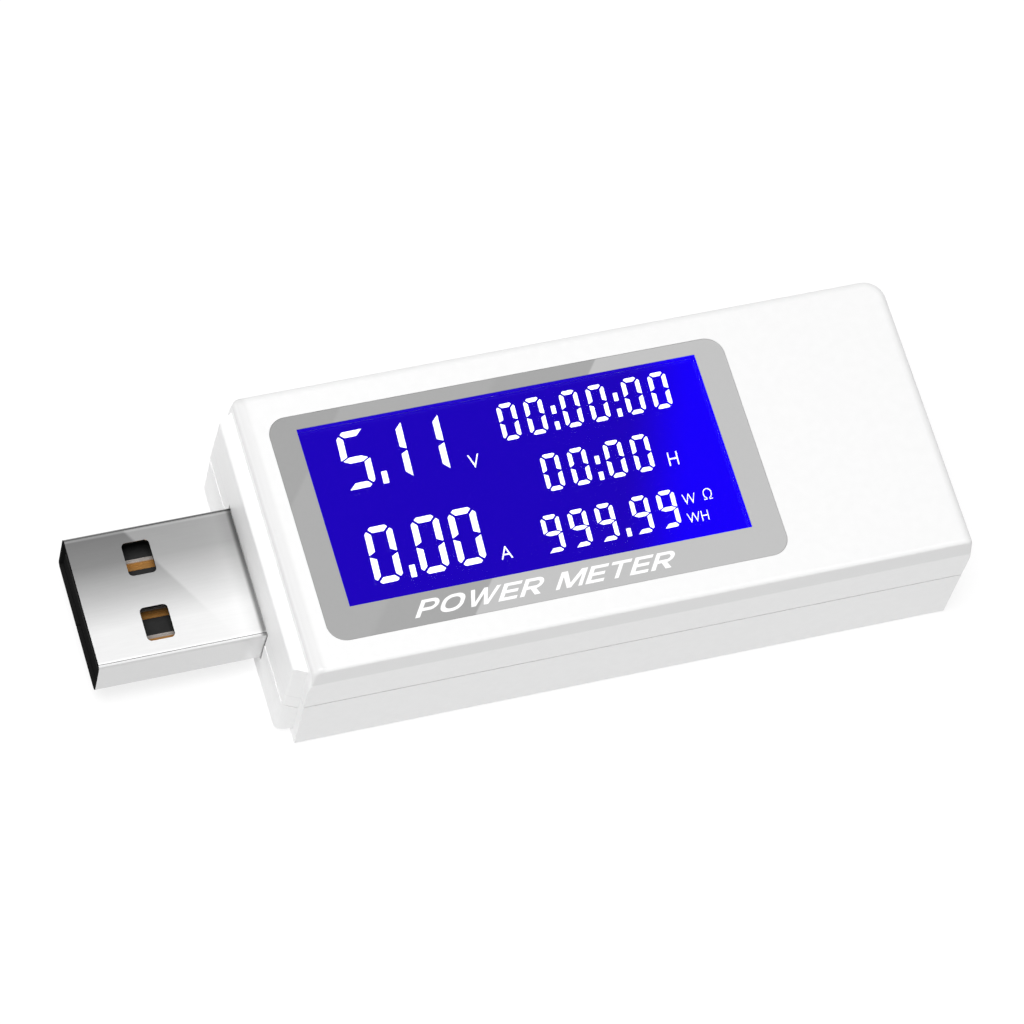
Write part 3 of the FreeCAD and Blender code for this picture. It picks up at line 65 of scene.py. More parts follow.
# Case
NOSE_REACH = 1.4 * MM  # from the end of the nose around the plug to just past the case's end wall
RIM_FOOT = 2.0 * MM  # foot of the sloping rim, under the top face
RIM_BLUR = 0.12 * MM
RIM_TOP = (0.4 * MM, 0.1 * MM)  # under the top face: where the rim's painted shade fades and where it is gone
END_RIM_FOOT = 0.9 * MM  # the narrower rim at the plug's end, under the top face
END_RIM_START = (0.1 * MM, 0.35 * MM)  # from the end wall: where its painted shade starts and is full
END_RIM_END = (0.6 * MM, 1.25 * MM)  # and where it fades and is gone
LIP_HEIGHT = 0.8 * MM  # top of the lower case's lip over the ledge along the seam
LEDGE_BLUR = (0.01 * MM, 0.04 * MM)  # off the ledge: where its painted shade fades and where it is gone
SHADED_WHITE = 225  # display level of the painted shade on the rims and along the seam

# Label: slant of its painted reflection bands, then where each starts in millimetres, its level and its
# blur.
LABEL_REFLECTION_SLANT = 0.8
LABEL_REFLECTION_BANDS = ((-20.4, 161, 0.25), (-7.0, 156, 0.5), (1.8, 184, 0.12))

# Plug: painted reflections on its top, as tones at (y in millimetres, display level), on the mouth's
# side of a slanting edge and beyond it. Along the far bend runs a painted pale highlight, then a dark
# painted reflection.
TOP_REFLECTION_MOUTH_SIDE = ((-6, 240), (-5.5, 240), (-3, 237), (0, 190), (3, 138))
TOP_REFLECTION_BEYOND = ((-6, 240), (-5.5, 240), (-3, 240), (0, 208), (3, 168))
BEND_REFLECTION_MOUTH_SIDE = ((5.4, 124), (5.55, 158), (5.72, 128), (6, 122))
BEND_REFLECTION_BEYOND = ((5.4, 162), (5.55, 186), (5.72, 118), (6, 112))
TOP_SLANT = 0.6
TOP_EDGE = -28.0 * MM  # where the slanting edge of the painted reflection crosses the plug's middle
TOP_BLUR = 0.2 * MM
# Two shadows by the nose: share of the tone that is left, and start and end off the nose.
NOSE_SHADES = ((0.82, 1.8 * MM, 0.3 * MM), (0.3, 0.55 * MM, 0.15 * MM))
NOSE_PAINTED_LIGHT = (1.8 * MM, 0.6 * MM)  # off the nose: where the painted light on the plug's sides starts and is full
SHEET = 0.3 * MM  # thickness of the shell
FACE_DEPTH = 0.03 * MM  # what lies deeper than this under the shell's top and bottom is its inside
WALL_MARGIN = 0.05 * MM  # the inside reaches this far into the side walls, to take in their inner faces
END_DEPTH = 0.04 * MM  # the shell's cut end gets the same painted shade as its inside, to this depth
CONTACT_PITCH = 2.5 * MM
CONTACT_OFFSET = 1.0 * MM  # nearest contacts, from the middle
CONTACT_HIGHLIGHT_EDGE = (0.12 * MM, 0.26 * MM)  # off a contact's middle: where the painted highlight starts and is full

# Display
UNLIT_BLUE = (4, 0, 24)
GLOW_SLANT = 0.32  # slant, start and end of the stretch where the backlight brightens
GLOW_START = 9.2 * MM
GLOW_END = 15.6 * MM
FILM_GAP = 0.02 * MM  # air between the lit film and the clear window
SEGMENT_HEIGHT = 0.02 * MM
SEGMENT_ROUNDING = 0.05 * MM
SLANT = 0.053  # lean of the digits, sideways for each unit of height
ROW_RISE = 0.016  # the rows climb a little towards the socket end
COLON_HEIGHTS = (0.06, 1.55)  # the two dots of a colon over the foot of the row, in millimetres
# Seen through the window, the film looks nearer to the viewer than it is; this much is made up for.
WINDOW_SHIFT = Vector((0.19, 0.295, 0))  # millimetres

# Unit signs, in Blender's own font
FONT_CAPITAL = 0.729  # height of a capital at size 1
SIGN_LEAN = 0.08
SIGN_THINNING = -0.02
WELD = 0.002  # vertices of a letter nearer than this are one, at letter size

# Lettering on the label, in millimetres
WORDS = "POWER METER"
WORDS_START = -11.5
WORDS_END = 10.5
BASELINE = -9.77
CAPITAL_HEIGHT = 1.46
CAPITAL_LEAN = 0.66
INK_THICKNESS = 0.01 * MM


def srgb(*levels):
    """A linear colour from display levels of 0 to 255; one level makes a grey."""
    shares = [v / 255 for v in (levels if len(levels) == 3 else levels * 3)]
    return (*[v / 12.92 if v <= 0.04045 else ((v + 0.055) / 1.055) ** 2.4 for v in shares], 1)


def add_object(name, data):
    """A new object in the scene's own collection."""
    made = bpy.data.objects.new(name, data)
    bpy.context.scene.collection.objects.link(made)
    return made


# ---------------------------------------------------------------- materials


class Paint:
    """A Principled material and the few node recipes that the finishes share."""

    def __init__(self, name, colour, roughness, **sockets):
        self.material = bpy.data.materials.new(name)
        self.material.use_nodes = True
        self.tree = self.material.node_tree
        self.shader = self.tree.nodes["Principled BSDF"]
        self.set("Base Color", colour)
        self.set("Roughness", roughness)
        for socket, value in sockets.items():
            self.set(socket.replace("_", " "), value)
        self.place = self.tree.nodes.new("ShaderNodeTexCoord").outputs["Object"]
        self.axes = None

    def fill(self, socket, value):
        """Link an output to an input socket, or give the socket a plain value."""
        if isinstance(value, bpy.types.NodeSocket):
            self.tree.links.new(value, socket)
        else:
            socket.default_value = value

    def set(self, socket, value):
        self.fill(self.shader.inputs[socket], value)

    def node(self, kind, inputs, **settings):
        """A new node with its settings, and its inputs filled by name or number."""
        made = self.tree.nodes.new(kind)
        for name, value in settings.items():
            setattr(made, name, value)
        for socket, value in inputs.items():
            self.fill(made.inputs[socket], value)
        return made

    def axis(self, name):
        """One object coordinate, in metres."""
        if self.axes is None:
            self.axes = self.node("ShaderNodeSeparateXYZ", {0: self.place})
        return self.axes.outputs[name]

    def facing(self, name):
        """One component of the surface direction."""
        normal = self.node("ShaderNodeNewGeometry", {}).outputs["Normal"]
        return self.node("ShaderNodeSeparateXYZ", {0: normal}).outputs[name]

    def noise(self, grain, detail=3.0, stretch=(1, 1, 1)):
        """Noise with a grain size in millimetres, drawn out along the axes by stretch."""
        scale = [1 / (grain * MM * s) for s in stretch]
        place = self.node("ShaderNodeMapping", {"Vector": self.place, "Scale": scale}).outputs[0]
        texture = self.node("ShaderNodeTexNoise", {"Vector": place, "Scale": 1.0, "Detail": detail})
        return texture.outputs["Fac"]

    def spread(self, source, low, high, start=0.0, end=1.0, kind="LINEAR"):
        """Maps a value from start..end to low..high, held at both ends."""
        inputs = {"Value": source, "From Min": start, "From Max": end, "To Min": low, "To Max": high}
        return self.node("ShaderNodeMapRange", inputs, interpolation_type=kind).outputs[0]

    def rise(self, source, start, end):
        """0 up to start and 1 from end on, smooth between them."""
        return self.spread(source, 0, 1, start, end, "SMOOTHSTEP")

    def fall(self, source, start, end):
        """1 up to start and 0 from end on, smooth between them."""
        return self.spread(source, 1, 0, start, end, "SMOOTHSTEP")

    def maths(self, kind, *values):
        """Maths on one value or two, each a socket or a number."""
        return self.node("ShaderNodeMath", dict(enumerate(values)), operation=kind).outputs[0]

    def product(self, first, *others):
        for other in others:
            first = self.maths("MULTIPLY", first, other)
        return first

    def slanted(self, slant):
        """X plus a share of Y: a coordinate that changes across slanting lines."""
        return self.maths("ADD", self.axis("X"), self.product(self.axis("Y"), slant))

    def mix(self, share, first, second, kind="MIX"):
        """A colour between two others; each is a socket or a colour."""
        inputs = {0: share, 6: first, 7: second}
        return self.node("ShaderNodeMix", inputs, data_type="RGBA", blend_type=kind).outputs[2]

    def ramp(self, source, stops):
        """Grey that follows stops of (place in millimetres, display level)."""
        first, last = stops[0][0], stops[-1][0]
        share = self.spread(source, 0, 1, first * MM, last * MM)
        made = self.node("ShaderNodeValToRGB", {0: share})
        elements = made.color_ramp.elements
        while len(elements) < len(stops):
            elements.new(0.5)
        for element, (place, level) in zip(elements, stops):
            element.position = (place - first) / (last - first)
            element.color = srgb(level)
        return made.outputs[0]

    def bump(self, height, depth, strength=1.0):
        """Bump of a depth in millimetres."""
        inputs = {"Height": height, "Strength": strength, "Distance": depth * MM}
        self.set("Normal", self.node("ShaderNodeBump", inputs).outputs[0])


def case_plastic():
    """Satin white moulding, with painted shade on its rims and along the seam."""
    paint = Paint("case_plastic", srgb(240), 0.36)
    length, height = paint.axis("X"), paint.axis("Z")
    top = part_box("upper_case")[1].z
    end_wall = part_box("lower_case")[0].x + NOSE_REACH
    ledge_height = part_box("lower_case")[1].z - LIP_HEIGHT
    # Painted shade: a grey band down the sloping rim under the top face, a narrower one at the plug's
    # end and a thin line at the seam's ledge.
    painted_rim_shade = paint.product(
        paint.rise(height, top - RIM_FOOT - RIM_BLUR, top - RIM_FOOT + RIM_BLUR),
        paint.fall(height, *[top - depth for depth in RIM_TOP]),
        paint.maths("GREATER_THAN", length, end_wall),
        paint.spread(paint.maths("ABSOLUTE", paint.facing("Z")), 1, 0, 0.5, 0.8),
    )
    painted_end_rim_shade = paint.product(
        paint.maths("GREATER_THAN", height, top - END_RIM_FOOT),
        paint.rise(length, *[end_wall + place for place in END_RIM_START]),
        paint.fall(length, *[end_wall + place for place in END_RIM_END]),
    )
    off_ledge = paint.maths("ABSOLUTE", paint.maths("SUBTRACT", height, ledge_height))
    painted_ledge_shade = paint.spread(off_ledge, 1, 0, *LEDGE_BLUR)
    tone = paint.mix(paint.spread(paint.noise(0.8), 0.0, 1.0, 0.3, 0.7), srgb(239), srgb(241))
    # The painted shades darken the plastic's own tone.
    for share in (painted_rim_shade, painted_end_rim_shade, painted_ledge_shade):
        tone = paint.mix(share, tone, srgb(SHADED_WHITE))
    paint.set("Base Color", tone)
    paint.set("Roughness", paint.spread(paint.noise(0.5), 0.34, 0.4))
    paint.bump(paint.noise(0.12, 2.0), 0.001)
    return paint.material


def label_film():
    """Glossy grey film with painted reflections in slanting bands of four greys."""
    gloss = {"Specular_IOR_Level": 0.3, "Coat_Weight": 0.08, "Coat_Roughness": 0.12}
    paint = Paint("label_film", srgb(170), 0.3, **gloss)
    across = paint.slanted(-LABEL_REFLECTION_SLANT)
    # Painted reflection: slanting bands of grey across the label.
    tone = srgb(154)
    for edge, grey, blur in LABEL_REFLECTION_BANDS:
        tone = paint.mix(paint.rise(across, (edge - blur) * MM, (edge + blur) * MM), tone, srgb(grey))
    grain = paint.spread(paint.noise(0.25), 0.015, 0.04)
    paint.set("Base Color", paint.mix(grain, tone, srgb(255)))
    paint.set("Roughness", paint.spread(paint.noise(1.5), 0.28, 0.34))
    paint.bump(paint.noise(0.2, 2.0), 0.0004)
    return paint.material


def film_glow(paint):
    """Blue of the lit display: deep, then brighter towards the lamp at the socket end."""
    share = paint.rise(paint.slanted(-GLOW_SLANT), GLOW_START, GLOW_END)
    return paint.mix(share, srgb(30, 4, 189), srgb(23, 0, 255))


def display_window():
    """Clear hard plastic, very slightly uneven, with the film's blue glow painted on its upright edges.
    """
    paint = Paint("display_window", srgb(255), 0.02, IOR=1.49, Specular_IOR_Level=0.25)
    level_face = paint.spread(paint.maths("ABSOLUTE", paint.facing("Z")), 0, 1, 0.3, 0.6)
    # Painted glow: the upright edges take the film's blue and emit its light.
    paint.set("Base Color", paint.mix(level_face, srgb(*UNLIT_BLUE), srgb(255)))
    paint.set("Transmission Weight", level_face)
    paint.set("Emission Color", film_glow(paint))
    paint.set("Emission Strength", paint.spread(level_face, 1, 0))
    paint.set("Roughness", paint.spread(paint.noise(2.0), 0.0, 0.03))
    return paint.material


def display_glass():
    """Thin glass of the display."""
    paint = Paint("display_glass", srgb(225, 235, 240), 0.05, IOR=1.52, Transmission_Weight=0.9)
    paint.set("Roughness", paint.spread(paint.noise(4.0), 0.03, 0.08))
    return paint.material


def lit_film():
    """Display film lit from behind, very slightly clouded."""
    paint = Paint("lit_film", srgb(*UNLIT_BLUE), 0.4, Emission_Strength=1.06, Specular_IOR_Level=0.0)
    cloud = paint.spread(paint.noise(1.6), 0.0, 0.04)
    paint.set("Emission Color", paint.mix(cloud, film_glow(paint), srgb(0, 0, 150)))
    return paint.material


def lit_segment():
    """Open segments of the display, which let the white light through."""
    paint = Paint("lit_segment", srgb(230), 0.4, Emission_Strength=1.05)
    paint.set("Emission Color", paint.mix(paint.noise(0.4), srgb(255), srgb(246, 247, 255)))
    return paint.material


def printed_ink():
    """White ink, screen printed, with a slightly uneven surface."""
    paint = Paint("printed_ink", srgb(252), 0.35)
    paint.set("Base Color", paint.mix(paint.noise(0.3), srgb(255), srgb(246)))
    paint.bump(paint.noise(0.08, 2.0), 0.002)
    return paint.material


def polariser_film():
    """Dark blue-grey film on the display's glass."""
    paint = Paint("polariser_film", srgb(30, 34, 60), 0.25)
    paint.set("Roughness", paint.spread(paint.noise(3.0), 0.2, 0.3))
    return paint.material


def backlight_white():
    """Matte white moulding behind the display."""
    paint = Paint("backlight_white", srgb(238), 0.6)
    paint.set("Roughness", paint.spread(paint.noise(0.6), 0.5, 0.7))
    paint.bump(paint.noise(0.15), 0.004)
    return paint.material


def backlight_guide():
    """Clear moulding with a grid of small light-scattering dots."""
    paint = Paint("backlight_guide", srgb(236, 240, 248), 0.15, IOR=1.49, Transmission_Weight=0.6)
    dot_pitch = 0.6 * MM
    inputs = {"Vector": paint.place, "Scale": [1 / dot_pitch] * 3}
    place = paint.node("ShaderNodeMapping", inputs).outputs[0]
    dots = paint.node("ShaderNodeTexVoronoi", {"Vector": place, "Scale": 1.0, "Randomness": 0.0})
    paint.set("Roughness", paint.spread(dots.outputs["Distance"], 0.6, 0.1, 0.15, 0.25))
    return paint.material


def lamp():
    """Lamp moulding, yellow where its phosphor shows."""
    paint = Paint("lamp", srgb(236, 222, 150), 0.4)
    phosphor = paint.spread(paint.noise(0.15), 0.0, 1.0, 0.35, 0.65)
    paint.set("Base Color", paint.mix(phosphor, srgb(240, 228, 150), srgb(226, 204, 110)))
    return paint.material


def plug_top_painted_light(paint, root):
    """Painted reflections on the plug's top, with painted shadow in the crease where it meets the nose.
    """
    # Painted reflection: the tones on either side of the slanting edge.
    clouded = paint.ramp(paint.axis("Y"), TOP_REFLECTION_MOUTH_SIDE + BEND_REFLECTION_MOUTH_SIDE)
    clear = paint.ramp(paint.axis("Y"), TOP_REFLECTION_BEYOND + BEND_REFLECTION_BEYOND)
    beyond = paint.rise(paint.slanted(TOP_SLANT), TOP_EDGE - TOP_BLUR, TOP_EDGE + TOP_BLUR)
    tone = paint.mix(beyond, clouded, clear)
    # Painted shadows by the nose.
    for left, start, end in NOSE_SHADES:
        shade = paint.spread(paint.axis("X"), 1.0, left, root - start, root - end, "SMOOTHSTEP")
        tone = paint.mix(1.0, tone, shade, "MULTIPLY")
    return tone


def shell_steel():
    """Nickel-plated sheet with fine rolling marks, painted reflections on the plug's top and sides, and
    painted shade by the nose and on the plug's inside.
    """
    paint = Paint("shell_steel", srgb(205), 0.3, Specular_IOR_Level=0.1)
    length, width, height = [paint.axis(name) for name in "XYZ"]
    tip, top_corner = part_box("plug_shell")
    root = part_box("upper_case")[0].x
    on_plug = paint.maths("LESS_THAN", length, root)
    top = paint.product(
        paint.rise(paint.facing("Z"), 0.4, 0.75),
        paint.maths("GREATER_THAN", height, top_corner.z - SHEET),
        on_plug,
    )
    # Painted shade: the plug shell's inside and its cut end are near black, without shine.
    within = paint.product(
        paint.maths("LESS_THAN", length, 0.0),
        paint.maths("LESS_THAN", height, top_corner.z - FACE_DEPTH),
        paint.maths("GREATER_THAN", height, tip.z + FACE_DEPTH),
        paint.maths("LESS_THAN", paint.maths("ABSOLUTE", width), top_corner.y - SHEET + WALL_MARGIN),
    )
    inside = paint.maths("MAXIMUM", within, paint.maths("LESS_THAN", length, tip.x + END_DEPTH))
    # Painted reflection of the white nose: the plug's sides brighten towards it.
    painted_nose_light = paint.product(paint.rise(length, *[root - place for place in NOSE_PAINTED_LIGHT]), on_plug)
    side = paint.mix(painted_nose_light, srgb(204), srgb(226))
    marks = paint.noise(0.15, 3.0, stretch=(14, 1, 1))
    skin = paint.mix(top, side, plug_top_painted_light(paint, root))
    skin = paint.mix(1.0, skin, paint.spread(marks, 0.96, 1.03), "MULTIPLY")
    paint.set("Base Color", paint.mix(inside, skin, srgb(30)))
    paint.set("Metallic", paint.maths("SUBTRACT", paint.spread(top, 1.0, 0.15), inside))
    paint.set("Specular IOR Level", paint.spread(inside, 0.1, 0.0))
    paint.set("Roughness", paint.spread(marks, 0.26, 0.38))
    paint.bump(paint.noise(0.05, 2.0, stretch=(10, 1, 1)), 0.0006)
    return paint.material


def tinned_metal():
    """Dull tinned sheet of leads, pins and springs."""
    paint = Paint("tinned_metal", srgb(200, 200, 203), 0.25, Metallic=1.0)
    paint.set("Roughness", paint.spread(paint.noise(0.3), 0.18, 0.34))
    return paint.material


def contact_gold():
    """Gold-plated contact, scratched lengthwise by plugging, with a painted highlight along one rolled
    edge.
    """
    paint = Paint("contact_gold", srgb(214, 150, 70), 0.25, Metallic=0.6)
    wear = paint.spread(paint.noise(0.08, 3.0, stretch=(12, 1, 1)), 0.0, 1.0, 0.3, 0.7)
    gold = paint.mix(wear, srgb(232, 172, 100), srgb(204, 138, 66))
    # Painted highlight along the +Y edge of each contact.
    place = paint.maths("FLOORED_MODULO", paint.maths("ABSOLUTE", paint.axis("Y")), CONTACT_PITCH)
    from_middle = paint.maths("SUBTRACT", place, CONTACT_OFFSET)
    towards = paint.product(from_middle, paint.maths("SIGN", paint.axis("Y")))
    pale = paint.rise(towards, *CONTACT_HIGHLIGHT_EDGE)
    paint.set("Base Color", paint.mix(pale, gold, srgb(225, 215, 208)))
    paint.set("Roughness", paint.spread(wear, 0.2, 0.32))
    return paint.material


def moulded(name, grey, grain):
    """Dark moulded plastic with a fine matte grain."""
    paint = Paint(name, srgb(grey), 0.5)
    paint.set("Base Color", paint.mix(paint.noise(grain * 3), srgb(grey), srgb(grey + 8)))
    paint.set("Roughness", paint.spread(paint.noise(grain), 0.42, 0.6))
    paint.bump(paint.noise(grain, 2.0), 0.004)
    return paint.material


def connector_plastic():
    """Dark insulator of the plug and the socket, with painted shade where its tongues face the mouth:
    darker and without shine.
    """
    paint = Paint("connector_plastic", srgb(28), 0.5, Specular_IOR_Level=0.2)
    # Painted shade: faces towards the mouth are darker and lose their shine.
    end = paint.spread(paint.maths("ABSOLUTE", paint.facing("X")), 0, 1, 0.5, 0.8)
    body = paint.mix(paint.noise(0.3), srgb(32), srgb(42))
    paint.set("Base Color", paint.mix(end, body, srgb(30)))
    paint.set("Specular IOR Level", paint.spread(end, 0.2, 0.0))
    paint.set("Roughness", paint.spread(paint.noise(0.1), 0.42, 0.6))
    paint.bump(paint.noise(0.1, 2.0), 0.004)
    return paint.material


def board_laminate():
    """Green solder mask over woven glass, lighter where copper runs under it."""
    paint = Paint("board_laminate", srgb(22, 88, 50), 0.35)
    copper = paint.spread(paint.noise(1.4, 1.0), 0.0, 1.0, 0.5, 0.52)
    paint.set("Base Color", paint.mix(copper, srgb(18, 78, 44), srgb(30, 104, 60)))
    paint.bump(copper, 0.02, 0.5)
    return paint.material


def ceramic(name, *body):
    """Fired ceramic with a faint speckle."""
    paint = Paint(name, srgb(*body), 0.45)
    speckle = paint.spread(paint.noise(0.12), 0.0, 0.3, 0.45, 0.7)
    paint.set("Base Color", paint.mix(speckle, srgb(*body), srgb(90, 70, 50)))
    return paint.material


def button_plastic():
    """The case's own white, a little more polished where fingers rub it."""
    paint = Paint("button_plastic", srgb(232), 0.3)
    paint.set("Roughness", paint.spread(paint.noise(0.7), 0.22, 0.36))
    paint.bump(paint.noise(0.12, 2.0), 0.002)
    return paint.material


# What makes the material of each slot: a function, then what it is given.
FINISHES = {
    "case_plastic": (case_plastic,),
    "label_film": (label_film,),
    "display_window": (display_window,),
    "display_glass": (display_glass,),
    "polariser_film": (polariser_film,),
    "backlight_white": (backlight_white,),
    "backlight_guide": (backlight_guide,),
    "lamp": (lamp,),
    "shell_steel": (shell_steel,),
    "connector_plastic": (connector_plastic,),
    "contact_gold": (contact_gold,),
    "tinned_metal": (tinned_metal,),
    "board_laminate": (board_laminate,),
    "chip_black": (moulded, "chip_black", 30, 0.05),
    "resistor_black": (moulded, "resistor_black", 36, 0.08),
    "capacitor_tan": (ceramic, "capacitor_tan", 178, 146, 104),
    "tantalum_yellow": (ceramic, "tantalum_yellow", 214, 158, 48),
    "button_plastic": (button_plastic,),
    "switch_plastic": (moulded, "switch_plastic", 28, 0.08),
}


def dress_nodes(frame):
    """Give every CAD node the finish of its material slot."""
    made = {}
    for part in frame["record"]["subparts"]:
        slot = part["material_slot"]
        if slot not in made:
            finish, *details = FINISHES[slot]
            made[slot] = finish(*details)
        mesh = frame["nodes"][part["node"]].data
        mesh.materials.clear()
        mesh.materials.append(made[slot])


# ---------------------------------------------------------------- pieces


def new_piece(name, mesh, material):
    """A finished mesh becomes a piece of the meter."""
    mesh.materials.clear()
    mesh.materials.append(material)
    piece = add_object(name, mesh)
    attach(piece, METER)
    return piece


def prism(shape, outline, floor, height, bevel):
    """Add a flat plate with an outline of (x, y) points to a bmesh, its upright edges rounded."""
    low = [shape.verts.new((x, y, floor)) for x, y in outline]
    high = [shape.verts.new((x, y, floor + height)) for x, y in outline]
    shape.faces.new(low)
    shape.faces.new(high)
    for step in range(len(outline)):
        following = (step + 1) % len(outline)
        shape.faces.new((low[step], low[following], high[following], high[step]))
    if bevel:
        uprights = [shape.edges.get((a, b)) for a, b in zip(low, high)]
        bmesh.ops.bevel(shape, geom=uprights, offset=bevel, segments=3, profile=0.5, affect="EDGES")


def plates(name, outlines, floor, height, bevel=0):
    """One mesh of several flat plates."""
    shape = bmesh.new()
    for outline in outlines:
        prism(shape, outline, floor, height, bevel)
    bmesh.ops.recalc_face_normals(shape, faces=shape.faces)
    mesh = bpy.data.meshes.new(name)
    shape.to_mesh(mesh)
    shape.free()
    return mesh


# What a figure is made of: a top, b and c right, d bottom, e and f left, g middle.
LIT = {"0": "abcdef", "1": "bc", "5": "acdfg", "9": "abcdfg"}
JOINED = {"a": "fb", "d": "ec"}  # the uprights that meet the top and the bottom bar


class Figures:
    """Seven-segment figures of one size, in millimetres, and the dots that go with them.

    A segment is thick wide and stays gap away from the figure's corner; cut is taken off an outer corner
    where two lit segments meet. A dot stands dot_place to the right of the figure before it.
    """

    def __init__(self, width, height, thick, gap, cut, dot_size, dot_place):
        self.width, self.height, self.thick, self.gap, self.cut = width, height, thick, gap, cut
        self.dot_size, self.dot_place = dot_size, dot_place

    def bar(self, left_joined, right_joined):
        """Top bar: pointed at a free end, its corner cut off where it meets a lit upright."""
        w, h, t, g, c = self.width, self.height, self.thick, self.gap, self.cut
        left = [(g + c / 2, h - c / 2), (g + c, h)] if left_joined else [(g, h)]
        right = [(w - g - c, h), (w - g - c / 2, h - c / 2)] if right_joined else [(w - g, h)]
        return left + right + [(w - g - t, h - t), (g + t, h - t)]

    def upright(self, joined):
        """Upper left upright, pointed towards the outer side in the middle of the figure."""
        h, t, g, c = self.height, self.thick, self.gap, self.cut
        top = [(0, h - g - c), (c / 2, h - g - c / 2)] if joined else [(0, h - g)]
        return top + [(t, h - g - t), (t, (h + t + g) / 2), (0, (h + g) / 2)]

    def middle(self):
        """Middle bar, pointed at both ends."""
        w, h, t, g = self.width, self.height, self.thick, self.gap
        upper = [(g, h / 2), (g + t, (h + t) / 2), (w - g - t, (h + t) / 2), (w - g, h / 2)]
        return upper + [(x, h - y) for x, y in upper[2:0:-1]]

    def segment(self, letter, lit):
        """Outline of one segment, given which segments of the figure are lit."""
        w, h = self.width, self.height
        if letter == "g":
            return self.middle()
        if letter in JOINED:
            outline = self.bar(*[mate in lit for mate in JOINED[letter]])
        else:
            outline = self.upright(("a" if letter in "bf" else "d") in lit)
        if letter in "bc":
            outline = [(w - x, y) for x, y in outline]
        if letter in "cde":
            outline = [(x, h - y) for x, y in outline]
        return outline

    def figure(self, digit):
        """Outlines of the lit segments of one digit."""
        lit = LIT[digit]
        return [self.segment(letter, lit) for letter in lit]

    def dot(self, x, y):
        """Outline of a dot, given its lower left corner."""
        width, height = self.dot_size
        return [(x, y), (x + width, y), (x + width, y + height), (x, y + height)]


TALL = Figures(2.42, 5.3, thick=0.54, gap=0.155, cut=0.4, dot_size=(0.48, 1.1), dot_place=3.02)
LARGE = Figures(2.38, 5.14, thick=0.54, gap=0.155, cut=0.4, dot_size=(0.48, 1.1), dot_place=3.02)
SMALL = Figures(1.58, 3.38, thick=0.37, gap=0.125, cut=0.24, dot_size=(0.38, 0.74), dot_place=2.22)

# Rows of the display: text, figures, pitch, room that a mark adds, and the lower left corner
# of the first figure from the screen's lower left corner, all in millimetres.
ROWS = {
    "volt_figures": ("5.11", TALL, 3.2, 0.0, (2.68, 10.1)),
    "ampere_figures": ("0.00", LARGE, 3.18, 0.8, (2.6, 1.37)),
    "clock_figures": ("00:00:00", SMALL, 2.35, 0.78, (16.6, 11.86)),
    "hour_figures": ("00:00", SMALL, 2.36, 0.78, (18.85, 6.6)),
    "energy_figures": ("999.99", SMALL, 2.34, 0.72, (17.28, 1.14)),
}
# Unit signs: text, height of a capital, share of the usual width, lower left corner.
UNITS = {
    "volt_sign": ("V", 1.35, 0.9, (13.05, 9.98)),
    "ampere_sign": ("A", 1.25, 0.9, (13.3, 1.4)),
    "hour_sign": ("H", 1.36, 0.82, (29.4, 6.78)),
    "watt_sign": ("W", 1.05, 0.78, (29.6, 3.05)),
    "ohm_sign": ("Ω", 1.05, 0.85, (31.35, 3.15)),
    "watt_hour_sign": ("WH", 1.0, 0.8, (29.5, 1.35)),
}


def row_outlines(text, figures, pitch, mark_room, start):
    """Outlines of one row of figures with its dots and colons, placed on the screen, in metres."""
    flat, x = [], 0.0
    for sign in text:
        if sign in ".:":
            heights = (0.0,) if sign == "." else COLON_HEIGHTS
            flat += [figures.dot(x - pitch + figures.dot_place, y) for y in heights]
            x += mark_room
        else:
            flat += [[(x + px, py) for px, py in outline] for outline in figures.figure(sign)]
            x += pitch
    x0, y0 = start

    def placed(px, py):
        return (x0 + px + SLANT * py) * MM, (y0 + py + ROW_RISE * px) * MM

    return [[placed(px, py) for px, py in outline] for outline in flat]


def sign_mesh(name, words, capital, wide, place, floor):
    """Thin flat lettering as a mesh: capital height and place in millimetres, floor in metres."""
    curve = bpy.data.curves.new(name, "FONT")
    curve.body = words
    curve.size = capital / FONT_CAPITAL
    curve.shear = SIGN_LEAN
    curve.offset = SIGN_THINNING
    curve.resolution_u = 6
    curve.fill_mode = "FRONT"
    holder = add_object(name, curve)
    bpy.context.view_layer.update()
    mesh = bpy.data.meshes.new_from_object(holder.evaluated_get(bpy.context.evaluated_depsgraph_get()))
    bpy.data.objects.remove(holder)
    shape = bmesh.new()
    shape.from_mesh(mesh)
    bmesh.ops.remove_doubles(shape, verts=shape.verts, dist=WELD)
    for vert in shape.verts:
        vert.co = Vector(((place[0] + vert.co.x * wide) * MM, (place[1] + vert.co.y) * MM, floor))
    raised = bmesh.ops.extrude_face_region(shape, geom=shape.faces)
    top = [item for item in raised["geom"] if isinstance(item, bmesh.types.BMVert)]
    bmesh.ops.translate(shape, verts=top, vec=(0, 0, SEGMENT_HEIGHT))
    bmesh.ops.recalc_face_normals(shape, faces=shape.faces)
    shape.to_mesh(mesh)
    shape.free()
    mesh.name = name
    return mesh


